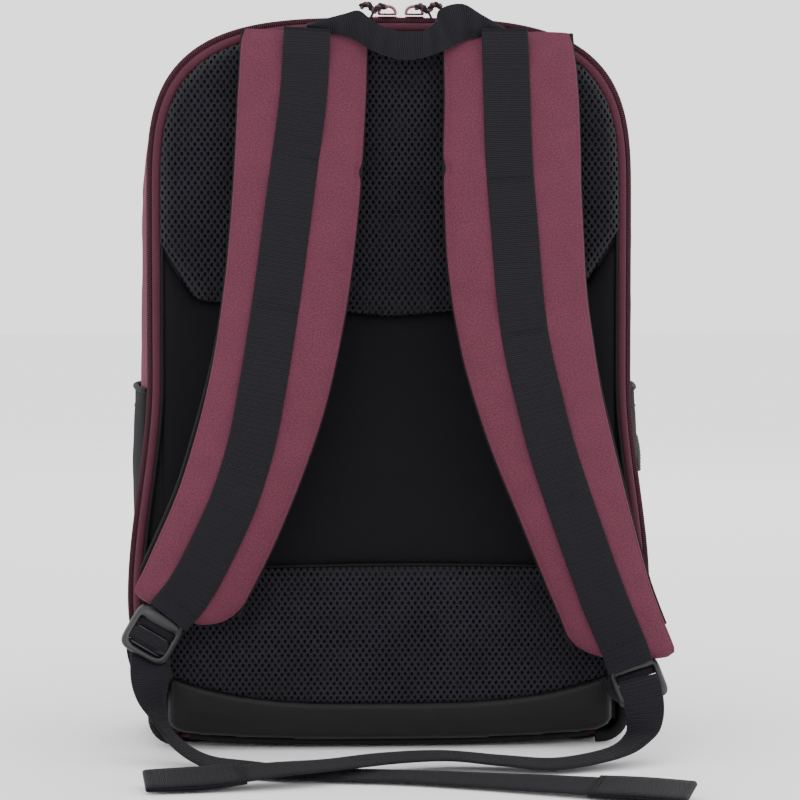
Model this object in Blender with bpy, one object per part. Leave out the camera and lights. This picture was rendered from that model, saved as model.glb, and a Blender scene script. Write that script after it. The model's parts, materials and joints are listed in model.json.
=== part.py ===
"""A travel backpack with a zipped laptop compartment behind its harness panel, standing on its base.

Metres, +Z up. The origin is the centre of the base on the ground. The harness faces -Y, the front pocket
faces +Y and the wearer's left strap is at -X.
"""

import math

import bmesh
import bpy
import numpy as np
from mathutils import Matrix, Vector

# Shell
HALF_WIDTH = 0.152
HEIGHT = 0.460
ARCH_START = 0.340
ARCH_POWER = 3.5
FOOT_RADIUS = 0.014
WALL = 0.0025
SHELL_BACK = -0.062
SHELL_FRONT = 0.062
GAP = 0.0003
BASE_THICK = 0.0030
PANEL_FRONT = SHELL_FRONT + 0.0028
LINING_THICK = 0.0012
ZIP_THICK = 0.0016
MAIN_ZIP_Y = 0.0370
MAIN_ZIP_OUT = 0.0018
SLIDER_LENGTH = 0.0120
MAIN_SLIDER = (HALF_WIDTH + MAIN_ZIP_OUT + GAP, MAIN_ZIP_Y, 0.2110)
POCKET_SLIDER = (0.0900, PANEL_FRONT + GAP + ZIP_THICK + GAP, 0.2940)

# Back panel, hinged at its foot
HINGE_Y = -0.066
HINGE_Z = 0.014
BORDER_WIDTH = 0.0070
PANEL_BACK = -0.0665
FRAME_THICK = 0.0020
YOKE_FACE = -0.0825
MIDDLE_FACE = -0.0770
LUMBAR_FACE = -0.0815
TRIM_FACE = -0.0830
TRIM_HALF = 0.142
LUMBAR_TOP = 0.112
HARNESS_X = 0.007

# Shoulder straps
STRAP_WIDTH = 0.078
STRAP_THICK = 0.0110
STRAP_MESH_THICK = 0.0016
STRAP_HINGE_Y = -0.0860
STRAP_HINGE_Z = 0.4470
WEB_WIDTH = 0.0295
TAIL_WIDTH = 0.0250
WEB_THICK = 0.0016

# Centre line of each strap pad, from the top seam to its lower end, as (x, y, z)
LEFT_STRAP_ROUTE = [
    (-0.0540, -0.0900, 0.4460),
    (-0.0560, -0.1010, 0.4080),
    (-0.0600, -0.1120, 0.3470),
    (-0.0670, -0.1190, 0.2850),
    (-0.0790, -0.1210, 0.2240),
    (-0.0990, -0.1180, 0.1620),
    (-0.1200, -0.1120, 0.1150),
    (-0.1310, -0.1080, 0.0920),
]
RIGHT_STRAP_ROUTE = [
    (0.0730, -0.0900, 0.4460),
    (0.0740, -0.1010, 0.4080),
    (0.0740, -0.1120, 0.3470),
    (0.0780, -0.1190, 0.2850),
    (0.0900, -0.1210, 0.2240),
    (0.1100, -0.1180, 0.1610),
    (0.1320, -0.1120, 0.0980),
    (0.1440, -0.1080, 0.0700),
]
STRAP_END_WIDTH = 0.062

# Free end of each adjuster web: from the ladder lock to the ground and across before the bag. Each row is
# (x, y, z, turn, lean): the web's width points `turn` degrees round from +X towards +Y, raised by `lean`.
LEFT_TAIL_ROUTE = [
    (-0.1520, -0.1190, 0.0700, 0, -24),
    (-0.1510, -0.1205, 0.0500, 12, -14),
    (-0.1465, -0.1235, 0.0320, 42, -5),
    (-0.1370, -0.1290, 0.0170, 70, 3),
    (-0.1180, -0.1480, 0.0070, 60, 3),
    (-0.0900, -0.1680, 0.0044, 60, 6),
    (-0.0500, -0.1830, 0.0036, 70, 5),
    (0.0000, -0.1930, 0.0036, 75, 5),
    (0.0400, -0.2080, 0.0040, 68, 8),
    (0.0900, -0.2320, 0.0062, 64, 20),
    (0.1330, -0.2530, 0.0074, 64, 26),
    (0.1630, -0.2650, 0.0074, 66, 26),
]
RIGHT_TAIL_ROUTE = [
    (0.1545, -0.1290, 0.0390, 0, 18),
    (0.1545, -0.1325, 0.0275, -26, 8),
    (0.1500, -0.1380, 0.0165, -54, 2),
    (0.1340, -0.1480, 0.0085, -74, -2),
    (0.0980, -0.1610, 0.0044, -96, -5),
    (0.0650, -0.1580, 0.0060, -92, -4),
    (0.0300, -0.1560, 0.0090, -76, -4),
    (-0.0050, -0.1680, 0.0100, -64, -4),
    (-0.0400, -0.1880, 0.0100, -64, -4),
    (-0.0750, -0.2030, 0.0100, -72, -8),
    (-0.1150, -0.2100, 0.0086, -84, -22),
    (-0.1500, -0.2140, 0.0080, -84, -26),
]

COLOURS = {
    "burgundy_fabric": (0.225, 0.068, 0.105, 0.80, 0.0),
    "black_fabric": (0.018, 0.018, 0.020, 0.85, 0.0),
    "black_mesh": (0.022, 0.022, 0.024, 0.90, 0.0),
    "black_webbing": (0.014, 0.014, 0.016, 0.70, 0.0),
    "leather_trim": (0.016, 0.015, 0.016, 0.45, 0.0),
    "black_plastic": (0.012, 0.012, 0.013, 0.35, 0.0),
    "painted_metal": (0.180, 0.040, 0.070, 0.35, 0.6),
    "lining": (0.120, 0.120, 0.130, 0.80, 0.0),
}


def clear_scene():
    for obj in list(bpy.data.objects):
        bpy.data.objects.remove(obj, do_unlink=True)


def material(slot):
    made = bpy.data.materials.get(slot)
    if made:
        return made
    made = bpy.data.materials.new(slot)
    made.use_nodes = True
    red, green, blue, rough, metal = COLOURS[slot]
    shader = made.node_tree.nodes["Principled BSDF"]
    shader.inputs["Base Color"].default_value = (red, green, blue, 1.0)
    shader.inputs["Roughness"].default_value = rough
    shader.inputs["Metallic"].default_value = metal
    made.diffuse_color = (red, green, blue, 1.0)
    return made


def mesh_object(name, points, faces, slot, pivot=(0.0, 0.0, 0.0)):
    """One closed body, with its normals facing out and its origin at the pivot."""
    pivot = Vector(pivot)
    mesh = bpy.data.meshes.new(name)
    mesh.from_pydata([tuple(Vector(p) - pivot) for p in points], [], faces)
    work = bmesh.new()
    work.from_mesh(mesh)
    bmesh.ops.recalc_face_normals(work, faces=work.faces)
    work.to_mesh(mesh)
    work.free()
    mesh.shade_smooth()
    mesh.set_sharp_from_angle(angle=math.radians(35))
    mesh.materials.append(material(slot))
    obj = bpy.data.objects.new(name, mesh)
    obj.location = pivot
    bpy.context.scene.collection.objects.link(obj)
    return obj


def loft_faces(first, rings, size, joined=False):
    """Quads between `rings` rings of `size` points each, whose points start at index `first`."""
    faces = []
    for ring in range(rings if joined else rings - 1):
        here = first + ring * size
        there = first + (ring + 1) % rings * size
        for k in range(size):
            nxt = (k + 1) % size
            faces.append((here + k, here + nxt, there + nxt, there + k))
    return faces


def loft(name, rings, slot, joined=False, pivot=(0.0, 0.0, 0.0)):
    """A body through rings of equal size, capped at both ends, or joined end to end."""
    size = len(rings[0])
    points = [p for ring in rings for p in ring]
    faces = loft_faces(0, len(rings), size, joined)
    if not joined:
        faces.append(tuple(range(size)))
        faces.append(tuple(range(len(points) - size, len(points))))
    return mesh_object(name, points, faces, slot, pivot)


def tray(name, outer, inner, slot, pivot=(0.0, 0.0, 0.0)):
    """A hollow with a floor: both lists of rings start at the rim and end at the floor."""
    size = len(outer[0])
    points = [p for ring in outer + inner for p in ring]
    start = len(outer) * size
    faces = loft_faces(0, len(outer), size) + loft_faces(start, len(inner), size)
    faces.append(tuple(range(start - size, start)))
    faces.append(tuple(range(len(points) - size, len(points))))
    for k in range(size):
        nxt = (k + 1) % size
        faces.append((k, nxt, start + nxt, start + k))
    return mesh_object(name, points, faces, slot, pivot)


def smooth_route(points, steps):
    """Points on a smooth curve through the given points, `steps` to each span."""
    rows = np.array(points, float)
    rows = np.vstack([2 * rows[0] - rows[1], rows, 2 * rows[-1] - rows[-2]])
    made = []
    for i in range(1, len(rows) - 2):
        for step in range(steps):
            t = step / steps
            a, b, c, d = rows[i - 1 : i + 3]
            curve = 2 * b + (c - a) * t + (2 * a - 5 * b + 4 * c - d) * t * t
            made.append((curve + (3 * b - a - 3 * c + d) * t**3) / 2)
    made.append(rows[-2])
    return np.array(made)


def side_x(z, inset=0.0):
    """Half the shell's width at a height up to the start of the arch."""
    low = z - inset
    cut = 0.0
    if low < FOOT_RADIUS:
        cut = FOOT_RADIUS - math.sqrt(max(FOOT_RADIUS**2 - (FOOT_RADIUS - low) ** 2, 0.0))
    return HALF_WIDTH - inset - cut


def arch(inset, steps=26):
    """Points (x, z) over the top, from left to right."""
    wide = HALF_WIDTH - inset
    tall = HEIGHT - ARCH_START - inset
    points = []
    for k in range(steps + 1):
        angle = math.pi * (1 - k / steps)
        c, s = math.cos(angle), math.sin(angle)
        x = wide * math.copysign(abs(c) ** (2 / ARCH_POWER), c)
        points.append((x, ARCH_START + tall * max(s, 0.0) ** (2 / ARCH_POWER)))
    return points


def open_outline(inset, low, rows=4):
    """Points (x, z) up the left side from a height, over the arch and down the right side."""
    heights = [low + (ARCH_START - low) * k / rows for k in range(rows)]
    left = [(-side_x(z, inset), z) for z in heights]
    right = [(-x, z) for x, z in reversed(left)]
    return left + arch(inset) + right


def foot_outline(inset, low):
    """A closed outline: up the left side from a rounded foot, over the arch and down again."""
    corner = [low + FOOT_RADIUS * (1 - math.cos(math.radians(a))) for a in (0, 30, 60, 90)]
    left = [(-side_x(z - low + inset, inset), z) for z in corner]
    right = [(-x, z) for x, z in reversed(left)]
    return left + arch(inset) + right


def upright(outline, y):
    return [(x, y, z) for x, z in outline]


def plate(name, outline, y0, y1, slot, pivot=(0.0, 0.0, 0.0)):
    return loft(name, [upright(outline, y0), upright(outline, y1)], slot, pivot=pivot)


def band(name, outer, inner, y0, y1, slot, pivot=(0.0, 0.0, 0.0)):
    """A strip that follows an open line, between an outer and an inner copy of it."""
    return plate(name, outer + inner[::-1], y0, y1, slot, pivot)


def rounded_box(x0, x1, z0, z1, radius, steps=3):
    """A closed outline (x, z) with round corners."""
    points = []
    corners = ((x0, z0, 180), (x1, z0, 270), (x1, z1, 0), (x0, z1, 90))
    for x, z, start in corners:
        cx = x0 + radius if x == x0 else x1 - radius
        cz = z0 + radius if z == z0 else z1 - radius
        for k in range(steps + 1):
            angle = math.radians(start + 90 * k / steps)
            points.append((cx + radius * math.cos(angle), cz + radius * math.sin(angle)))
    return points


def pad_section(width, thick, bulge=0.55):
    """A flat pad's outline (across, out), with thin rounded edges and a crowned face."""
    half = width / 2
    edge = thick * (1 - bulge) / 2
    mid = thick / 2
    face = [(-half, 0), (-half * 0.94, edge), (-half * 0.6, mid * 0.92), (0, mid)]
    face += [(-x, y) for x, y in reversed(face[:-1])]
    return face + [(x, -y) for x, y in reversed(face[1:-1])]


def flat_section(width, thick):
    half, mid = width / 2, thick / 2
    return [(-half, -mid), (half, -mid), (half, mid), (-half, mid)]


def sweep(name, route, across, section_at, slot, lift=0.0, pivot=(0.0, 0.0, 0.0)):
    """A body along a route: each section lies across it, and lift moves it off the route."""
    route = np.asarray(route, float)[:, :3]
    rings = []
    for k, point in enumerate(route):
        ahead = route[min(k + 1, len(route) - 1)] - route[max(k - 1, 0)]
        along = Vector(ahead).normalized()
        side = Vector(across[k])
        side = (side - along * side.dot(along)).normalized()
        out = along.cross(side).normalized()
        centre = Vector(point) + out * lift
        ring = [tuple(centre + side * a + out * b) for a, b in section_at(k / (len(route) - 1))]
        rings.append(ring)
    return loft(name, rings, slot, pivot=pivot)


def tube(name, points, radius, slot, pivot=(0.0, 0.0, 0.0), sides=8):
    angles = [math.tau * k / sides for k in range(sides)]
    circle = [(radius * math.cos(a), radius * math.sin(a)) for a in angles]
    route = smooth_route(points, 3)
    across = [(0.31, 0.9, 0.3)] * len(route)
    return sweep(name, route, across, lambda t: circle, slot, pivot=pivot)


def lattice(name, xs, zs, solid, thick, frame, slot, pivot):
    """A flat plate with square holes: solid says which cells between the grid lines are filled."""
    def at(i, k, level):
        return (level * len(zs) + k) * len(xs) + i

    points = [frame @ Vector((x, level, z)) for level in (-thick / 2, thick / 2) for z in zs for x in xs]
    filled = {(i, k) for k, row in enumerate(solid) for i, on in enumerate(row) if on == "#"}
    faces = []
    for i, k in sorted(filled):
        for level in (0, 1):
            faces.append((at(i, k, level), at(i + 1, k, level), at(i + 1, k + 1, level), at(i, k + 1, level)))
        walls = {(i - 1, k): ((i, k), (i, k + 1)), (i + 1, k): ((i + 1, k), (i + 1, k + 1)),
                 (i, k - 1): ((i, k), (i + 1, k)), (i, k + 1): ((i, k + 1), (i + 1, k + 1))}
        for cell, (one, two) in walls.items():
            if cell not in filled:
                faces.append((at(*one, 0), at(*two, 0), at(*two, 1), at(*one, 1)))
    return mesh_object(name, points, faces, slot, pivot)


def d_ring(name, pivot, along, up, height, width, thick=0.0020):
    """A zip slider: a flat body with a raised arch over it, seen from the side as a D."""
    centre, along, up = Vector(pivot), Vector(along), Vector(up)
    side = along.cross(up)
    half = SLIDER_LENGTH / 2
    loop = [(-half, 0.0), (half, 0.0)]
    for k in range(9):
        angle = math.pi * k / 8
        loop.append((half * math.cos(angle) * 0.92, thick + (height - thick) * math.sin(angle) ** 0.7))
    middle = Vector((0.0, height * 0.42))
    rings = []
    for a, b in loop:
        here = Vector((a, b))
        inner = here + (middle - here).normalized() * thick
        corners = [(here, -1), (here, 1), (inner, 1), (inner, -1)]
        rings.append([tuple(centre + along * p.x + up * p.y + side * (s * width / 2)) for p, s in corners])
    return loft(name, rings, "painted_metal", joined=True, pivot=pivot)


def make_shell():
    base = rounded_box(-HALF_WIDTH + 0.006, HALF_WIDTH - 0.006, SHELL_BACK, SHELL_FRONT + 0.003, 0.016)
    rings = [[(x, y, z) for x, y in base] for z in (0.0, BASE_THICK)]
    loft("base_panel", rings, "black_fabric")
    foot = BASE_THICK + GAP
    for side, name in ((-1, "left_side_panel"), (1, "right_side_panel")):
        heights = [foot, 0.007, 0.013, 0.12, ARCH_START - GAP / 2]
        outer = [(side * side_x(z), z) for z in heights]
        inner = [(side * (side_x(z) - WALL), z) for z in heights]
        band(name, outer, inner, SHELL_BACK, SHELL_FRONT, "burgundy_fabric")
    lift = GAP / 2
    outer = [(x, z + lift) for x, z in arch(0.0)]
    inner = [(x, z + lift) for x, z in arch(WALL)]
    band("top_gusset", outer, inner, SHELL_BACK, SHELL_FRONT, "burgundy_fabric")
    plate("front_panel", foot_outline(0.0, foot), SHELL_FRONT + GAP, PANEL_FRONT, "burgundy_fabric")


def make_front_pocket():
    rim = PANEL_FRONT + GAP
    outer = [upright(rounded_box(-0.124 + d, 0.124 - d, 0.022 + d, 0.288 - d, 0.028), rim + y)
             for d, y in ((0.0, 0.0), (0.002, 0.010), (0.008, 0.019), (0.030, 0.025))]
    inner = [upright(rounded_box(-0.124 + d, 0.124 - d, 0.022 + d, 0.288 - d, 0.026), rim + y)
             for d, y in ((0.0022, 0.0), (0.0044, 0.009), (0.010, 0.017), (0.031, 0.0225))]
    tray("front_pocket", outer, inner, "burgundy_fabric")
    plate("front_pocket_zip", rounded_box(-0.118, 0.118, 0.2890, 0.2990, 0.003), rim, rim + ZIP_THICK,
          "burgundy_fabric")


def make_side_pockets():
    back = HALF_WIDTH + GAP
    for side, name in ((-1, "left_side_pocket"), (1, "right_side_pocket")):
        def ring(z, shrink, bulge):
            points = [(side * (back + shrink), -0.052 + shrink, z)]
            for k in range(9):
                y = -0.052 + shrink + (0.078 - 2 * shrink) * k / 8
                rise = math.sin(math.pi * k / 8) ** 0.6
                points.append((side * (back + 0.0012 + (bulge - shrink - 0.0012) * rise), y, z))
            points.append((side * (back + shrink), 0.026 - shrink, z))
            return points

        walls = ((0.226, 0.0085), (0.160, 0.0100), (0.080, 0.0125))
        outer = [ring(z, 0.0, bulge) for z, bulge in (*walls, (0.024, 0.0090))]
        inner = [ring(z, 0.0011, bulge) for z, bulge in (*walls, (0.027, 0.0090))]
        tray(name, outer, inner, "black_fabric")


def make_inside():
    foot = BASE_THICK + 2 * GAP
    inner = HALF_WIDTH - WALL - 0.003
    plate("base_board", rounded_box(-inner + 0.012, inner - 0.012, foot, foot + 0.0016, 0.0007),
          -0.034, SHELL_FRONT - 0.002, "black_plastic")
    plate("laptop_divider", rounded_box(-inner, inner, 0.014, 0.385, 0.012), -0.042, -0.037, "lining")

    def organiser_ring(z, inset):
        half, y0, y1 = 0.115 - inset, 0.0500 + inset, SHELL_FRONT - GAP - inset
        return [(-half, y0, z), (half, y0, z), (half, y1, z), (-half, y1, z)]

    low, high = 0.090, 0.250
    outer = [organiser_ring(high, 0.0), organiser_ring(low, 0.0)]
    inner = [organiser_ring(high, LINING_THICK), organiser_ring(low + LINING_THICK, LINING_THICK)]
    tray("organiser_pocket", outer, inner, "lining")


def make_zips():
    low = 0.110
    outer = open_outline(-MAIN_ZIP_OUT, low)
    inner = open_outline(-GAP, low)
    band("main_zip", outer, inner, MAIN_ZIP_Y - 0.0040, MAIN_ZIP_Y + 0.0040, "burgundy_fabric")
    back, front = SHELL_BACK - 0.0040, SHELL_BACK - GAP
    band("rear_zip", open_outline(0.0, 0.030), open_outline(0.0045, 0.030), back, front, "burgundy_fabric")


def yoke_edge():
    """The lower edge of the mesh yoke, (x, z) from left to right."""
    wide = HALF_WIDTH - BORDER_WIDTH - GAP
    return [(-wide, 0.320), (-0.122, 0.284), (-0.050, 0.279), (0.0, 0.274),
            (0.050, 0.278), (0.122, 0.292), (wide, 0.328)]


def trim_edge():
    """The upper edge of the base trim, (x, z) from left to right."""
    points = []
    for k in range(13):
        x = TRIM_HALF * (k / 6 - 1)
        points.append((x, 0.032 + 0.019 * abs(x / TRIM_HALF) ** 3.2))
    return points


def crowned(name, outline_at, face, slot, pivot, rise=0.55):
    """A pad whose edge is low and whose face is crowned towards -Y."""
    root = PANEL_BACK - FRAME_THICK - GAP
    depth = root - face
    rings = [upright(outline_at(inset), root - depth * part) for inset, part in
             ((0.0, 0.0), (0.0, rise), (0.002, 0.86), (0.007, 1.0))]
    return loft(name, rings, slot, pivot=pivot)


def make_back_panel():
    pivot = (0.0, HINGE_Y, HINGE_Z)
    low = 0.0165
    edge = BORDER_WIDTH
    frame_outline = open_outline(edge + GAP, low)
    plate("frame_sheet", frame_outline, PANEL_BACK - FRAME_THICK, PANEL_BACK, "black_plastic", pivot)
    band("panel_border", open_outline(0.0, 0.052), open_outline(edge, 0.052), PANEL_BACK - 0.0060, PANEL_BACK,
         "burgundy_fabric", pivot)

    def yoke(inset):
        wide = edge + GAP + inset
        top = [(x, z) for x, z in arch(wide) if z > ARCH_START + 0.001]
        line = yoke_edge()
        half = HALF_WIDTH - wide
        bottom = [(min(max(x, -half), half), z + inset) for x, z in reversed(line)]
        return top + [(half, ARCH_START)] + bottom + [(-half, ARCH_START)]

    def middle(inset):
        half = HALF_WIDTH - edge - GAP - inset
        line = [(min(max(x, -half), half), z - 0.0015 - 1.6 * inset) for x, z in yoke_edge()]
        return line + [(half, LUMBAR_TOP + 0.001 + inset), (-half, LUMBAR_TOP + 0.001 + inset)]

    def lumbar(inset):
        half = HALF_WIDTH - edge - GAP - inset
        line = [(min(max(x, -half), half), z + 0.0006 + inset) for x, z in reversed(trim_edge())]
        return [(-half, LUMBAR_TOP - inset), (half, LUMBAR_TOP - inset)] + line

    def trim(inset):
        top = [(x * (1 - inset / TRIM_HALF), z - inset) for x, z in trim_edge()]
        foot = [(TRIM_HALF - inset, 0.018 + inset), (0.118, 0.0085 + inset), (0.050, 0.0052 + inset)]
        return top + foot + [(-x, z) for x, z in reversed(foot)]

    crowned("upper_mesh_pad", yoke, YOKE_FACE, "black_mesh", pivot)
    crowned("middle_panel", middle, MIDDLE_FACE, "black_fabric", pivot)
    crowned("lumbar_pad", lumbar, LUMBAR_FACE, "black_mesh", pivot)
    crowned("base_trim", trim, TRIM_FACE, "leather_trim", pivot, rise=0.7)


def strap_across(route):
    """The width direction at each point: level with the panel and square to the route."""
    across = []
    for k in range(len(route)):
        step = route[min(k + 1, len(route) - 1)] - route[max(k - 1, 0)]
        across.append((-step[2], 0.0, step[0]))
    return across


def make_strap(name, points):
    pivot = (points[0][0], STRAP_HINGE_Y, STRAP_HINGE_Z)
    route = smooth_route(points, 3)
    across = strap_across(route)

    def width(t):
        taper = max(0.0, (t - 0.82) / 0.18)
        return STRAP_WIDTH - (STRAP_WIDTH - STRAP_END_WIDTH) * taper**2

    out = STRAP_THICK / 2
    sweep(name + "_pad", route, across, lambda t: pad_section(width(t), STRAP_THICK), "burgundy_fabric",
          pivot=pivot)
    sweep(name + "_mesh", route[:-1], across, lambda t: flat_section(width(t) * 0.88, STRAP_MESH_THICK),
          "black_mesh", lift=-(out + STRAP_MESH_THICK / 2 + GAP), pivot=pivot)
    sweep(name + "_web", route[:-1], across, lambda t: flat_section(WEB_WIDTH, WEB_THICK), "black_webbing",
          lift=out + WEB_THICK / 2 + GAP, pivot=pivot)


def ladder_frame(centre, roll, pitch):
    turn = Matrix.Rotation(math.radians(roll), 4, "Y") @ Matrix.Rotation(math.radians(pitch), 4, "X")
    return Matrix.Translation(centre) @ turn


def make_ladder_lock(name, centre, roll, pitch):
    """A two-slot plate: the strap's loop is on its top bar and the adjuster web over its middle bar."""
    xs = (-0.0190, -0.0150, 0.0150, 0.0190)
    zs = (-0.0190, -0.0150, -0.0060, -0.0015, 0.0070, 0.0110)
    rows = ("###", "#.#", "###", "#.#", "###")
    frame = ladder_frame(centre, roll, pitch)
    pivot = frame @ Vector((0.0, 0.0, zs[-1]))
    lattice(name, xs, zs, rows, 0.0042, frame, "black_plastic", pivot)


def make_handle():
    pivot = (HARNESS_X, -0.0870, 0.4600)
    left = [(-0.0520, -0.0868, 0.4600), (-0.0350, -0.0900, 0.4630), (-0.0160, -0.0990, 0.4590)]
    right = [(-x, y, z) for x, y, z in reversed(left)]
    middle = (0.0, -0.1040, 0.4450)
    route = smooth_route([(x + HARNESS_X, y, z) for x, y, z in [*left, middle, *right]], 4)
    across = [(0.0, -0.45, 0.9)] * len(route)

    def section(t):
        return pad_section(0.0085 + 0.0100 * math.sin(math.pi * t) ** 0.5, 0.0050, 0.3)

    sweep("grab_handle", route, across, section, "black_webbing", pivot=pivot)


def make_anchor_webs():
    pivot = (0.0, HINGE_Y, HINGE_Z)
    for side, name, top in ((-1, "left", LEFT_STRAP_ROUTE[-1]), (1, "right", RIGHT_STRAP_ROUTE[-1])):
        drop = top[2] - 0.034
        points = [(side * 0.1330, -0.0860, 0.0150), (side * 0.1370, -0.0910, 0.0150 + drop * 0.35),
                  (side * 0.1430, -0.1000, drop * 0.85), (side * 0.1470, -0.1050, drop)]
        route = smooth_route(points, 3)
        sweep(name + "_anchor_web", route, strap_across(route),
              lambda t: flat_section(TAIL_WIDTH, WEB_THICK), "black_webbing", pivot=pivot)


def make_tail(name, rows):
    route = smooth_route(rows, 4)
    turn, lean = np.radians(route[:, 3]), np.radians(route[:, 4])
    across = np.stack([np.cos(turn) * np.cos(lean), np.sin(turn) * np.cos(lean), np.sin(lean)], axis=1)
    sweep(name, route, across, lambda t: flat_section(TAIL_WIDTH, WEB_THICK), "black_webbing")


def make_sliders():
    top = HEIGHT + 0.0006
    y = SHELL_BACK - 0.0022
    for name, x in (("rear_slider_left", HARNESS_X - 0.0085), ("rear_slider_right", HARNESS_X + 0.0085)):
        d_ring(name, (x, y, top), (1, 0, 0), (0, 0, 1), 0.0075, 0.0070)
    d_ring("main_slider", MAIN_SLIDER, (0, 0, 1), (1, 0, 0), 0.0080, 0.0080)
    d_ring("pocket_slider", POCKET_SLIDER, (1, 0, 0), (0, 1, 0), 0.0080, 0.0080)


def make_pulls():
    top = HEIGHT + 0.0006 + 0.0055
    y = SHELL_BACK - 0.0022
    for side, name in ((-1, "rear_pull_left"), (1, "rear_pull_right")):
        x = HARNESS_X + side * 0.0085
        points = [(x + side * 0.0075, y, top - 0.001), (x + side * 0.012, y - 0.002, top + 0.0005),
                  (x + side * 0.019, y - 0.004, top - 0.001)]
        tube(name, points, 0.0016, "black_webbing", pivot=(x, y, top))
    x, y, z = MAIN_SLIDER[0] + 0.0115, MAIN_ZIP_Y, MAIN_SLIDER[2]
    cord = [(x, y, z - 0.0070), (x + 0.0015, y, z - 0.0150), (x + 0.0035, y, z - 0.0215)]
    grip = [(x + 0.0037, y, z - 0.0220), (x + 0.0050, y, z - 0.0330), (x + 0.0065, y, z - 0.0450)]
    tube("main_pull_cord", cord, 0.0011, "black_webbing", pivot=(x, y, z))
    tube("main_pull_grip", grip, 0.0026, "black_plastic", pivot=(x, y, z))
    x, y, z = POCKET_SLIDER[0], SHELL_FRONT + 0.0125, POCKET_SLIDER[2]
    points = [(x, y + 0.0040, z - 0.0020), (x, y + 0.0130, z - 0.0080), (x, y + 0.0190, z - 0.0300)]
    tube("pocket_pull", points, 0.0022, "black_plastic", pivot=(x, y, z))


def build():
    clear_scene()
    make_shell()
    make_front_pocket()
    make_side_pockets()
    make_inside()
    make_zips()
    make_back_panel()
    make_strap("left_strap", LEFT_STRAP_ROUTE)
    make_strap("right_strap", RIGHT_STRAP_ROUTE)
    make_ladder_lock("left_ladder_lock", (-0.1470, -0.1105, 0.0740), 28, -8)
    make_ladder_lock("right_ladder_lock", (0.1530, -0.1120, 0.0470), -20, -35)
    make_handle()
    make_anchor_webs()
    make_tail("left_tail", LEFT_TAIL_ROUTE)
    make_tail("right_tail", RIGHT_TAIL_ROUTE)
    make_sliders()
    make_pulls()


build()
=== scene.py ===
"""The looks of a burgundy travel backpack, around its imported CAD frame. Metres, +Z up, harness at -Y."""

import json
import math

import bmesh
import bpy
import numpy as np
from mathutils import Matrix, Vector, noise
from mathutils.geometry import delaunay_2d_cdt


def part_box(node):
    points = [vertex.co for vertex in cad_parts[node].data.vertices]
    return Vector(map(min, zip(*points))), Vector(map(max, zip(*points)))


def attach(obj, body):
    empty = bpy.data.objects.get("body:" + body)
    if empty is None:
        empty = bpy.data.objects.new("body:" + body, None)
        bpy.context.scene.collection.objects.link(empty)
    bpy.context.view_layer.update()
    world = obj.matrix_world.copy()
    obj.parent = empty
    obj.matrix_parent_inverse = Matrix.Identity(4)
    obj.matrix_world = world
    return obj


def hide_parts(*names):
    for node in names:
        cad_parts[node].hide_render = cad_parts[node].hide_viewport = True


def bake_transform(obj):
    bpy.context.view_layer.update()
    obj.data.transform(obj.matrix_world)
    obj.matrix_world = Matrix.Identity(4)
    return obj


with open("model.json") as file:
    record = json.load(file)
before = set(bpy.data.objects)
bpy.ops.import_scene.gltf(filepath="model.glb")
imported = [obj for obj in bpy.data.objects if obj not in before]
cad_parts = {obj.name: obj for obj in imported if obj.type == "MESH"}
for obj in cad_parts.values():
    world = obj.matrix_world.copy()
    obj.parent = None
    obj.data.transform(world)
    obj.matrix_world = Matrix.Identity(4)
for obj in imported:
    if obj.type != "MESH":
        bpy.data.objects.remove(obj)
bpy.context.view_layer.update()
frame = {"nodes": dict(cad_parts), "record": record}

# Camera, matched to the photo
LENS_MM = 143.2
AIM = Vector((0.006, -0.075, 0.221))
CAMERA_REACH = 2.0
CAMERA_HEIGHT = 0.350
CAMERA_YAW = math.radians(3.0)

# Shell outline and depths, as in the CAD frame
HALF_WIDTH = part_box("front_panel")[1].x
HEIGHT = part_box("front_panel")[1].z
ARCH_START = 0.340
ARCH_POWER = 3.5
ARCH_STEPS = 64
SIDE_STEPS = 28
FOOT_RADIUS = 0.014
SHELL_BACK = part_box("top_gusset")[0].y
SHELL_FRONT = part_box("top_gusset")[1].y
PANEL_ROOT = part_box("frame_sheet")[0].y

# The rear edge leans out near the foot: how far, below which height, and at which height most
FLARE = 0.0130
FLARE_TOP = 0.235
FLARE_PEAK = 0.095

# Fabric scales
TOOTH_PITCH = 0.0013
RIB_PITCH = 0.00115
RAISED_RIB_PITCH = 0.00175
WEB_THREAD = 0.0009
HOLE_PITCH_X = 0.0041
HOLE_PITCH_Z = 0.0030

# A wave texture's scale times its pitch in metres, for straight bands and for diagonal ones
STRAIGHT_BANDS = 2.0 / 6.283
DIAGONAL_BANDS = 0.444


# ---------------------------------------------------------------- camera, light and floor

def make_camera():
    """A long lens from behind the harness, as in the photo."""
    data = bpy.data.cameras.new("camera")
    data.lens = LENS_MM
    data.sensor_width = 36.0
    camera = bpy.data.objects.new("camera", data)
    bpy.context.scene.collection.objects.link(camera)
    x = AIM.x - CAMERA_REACH * math.sin(CAMERA_YAW)
    y = AIM.y - CAMERA_REACH * math.cos(CAMERA_YAW)
    camera.location = (x, y, CAMERA_HEIGHT)
    camera.rotation_euler = (AIM - camera.location).to_track_quat("-Z", "Y").to_euler()
    bpy.context.scene.camera = camera


def area_light(name, place, aim, size, power):
    data = bpy.data.lights.new(name, "AREA")
    data.shape = "RECTANGLE"
    data.size, data.size_y = size
    data.energy = power
    light = bpy.data.objects.new(name, data)
    light.location = place
    light.rotation_euler = (Vector(aim) - Vector(place)).to_track_quat("-Z", "Y").to_euler()
    bpy.context.scene.collection.objects.link(light)


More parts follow.
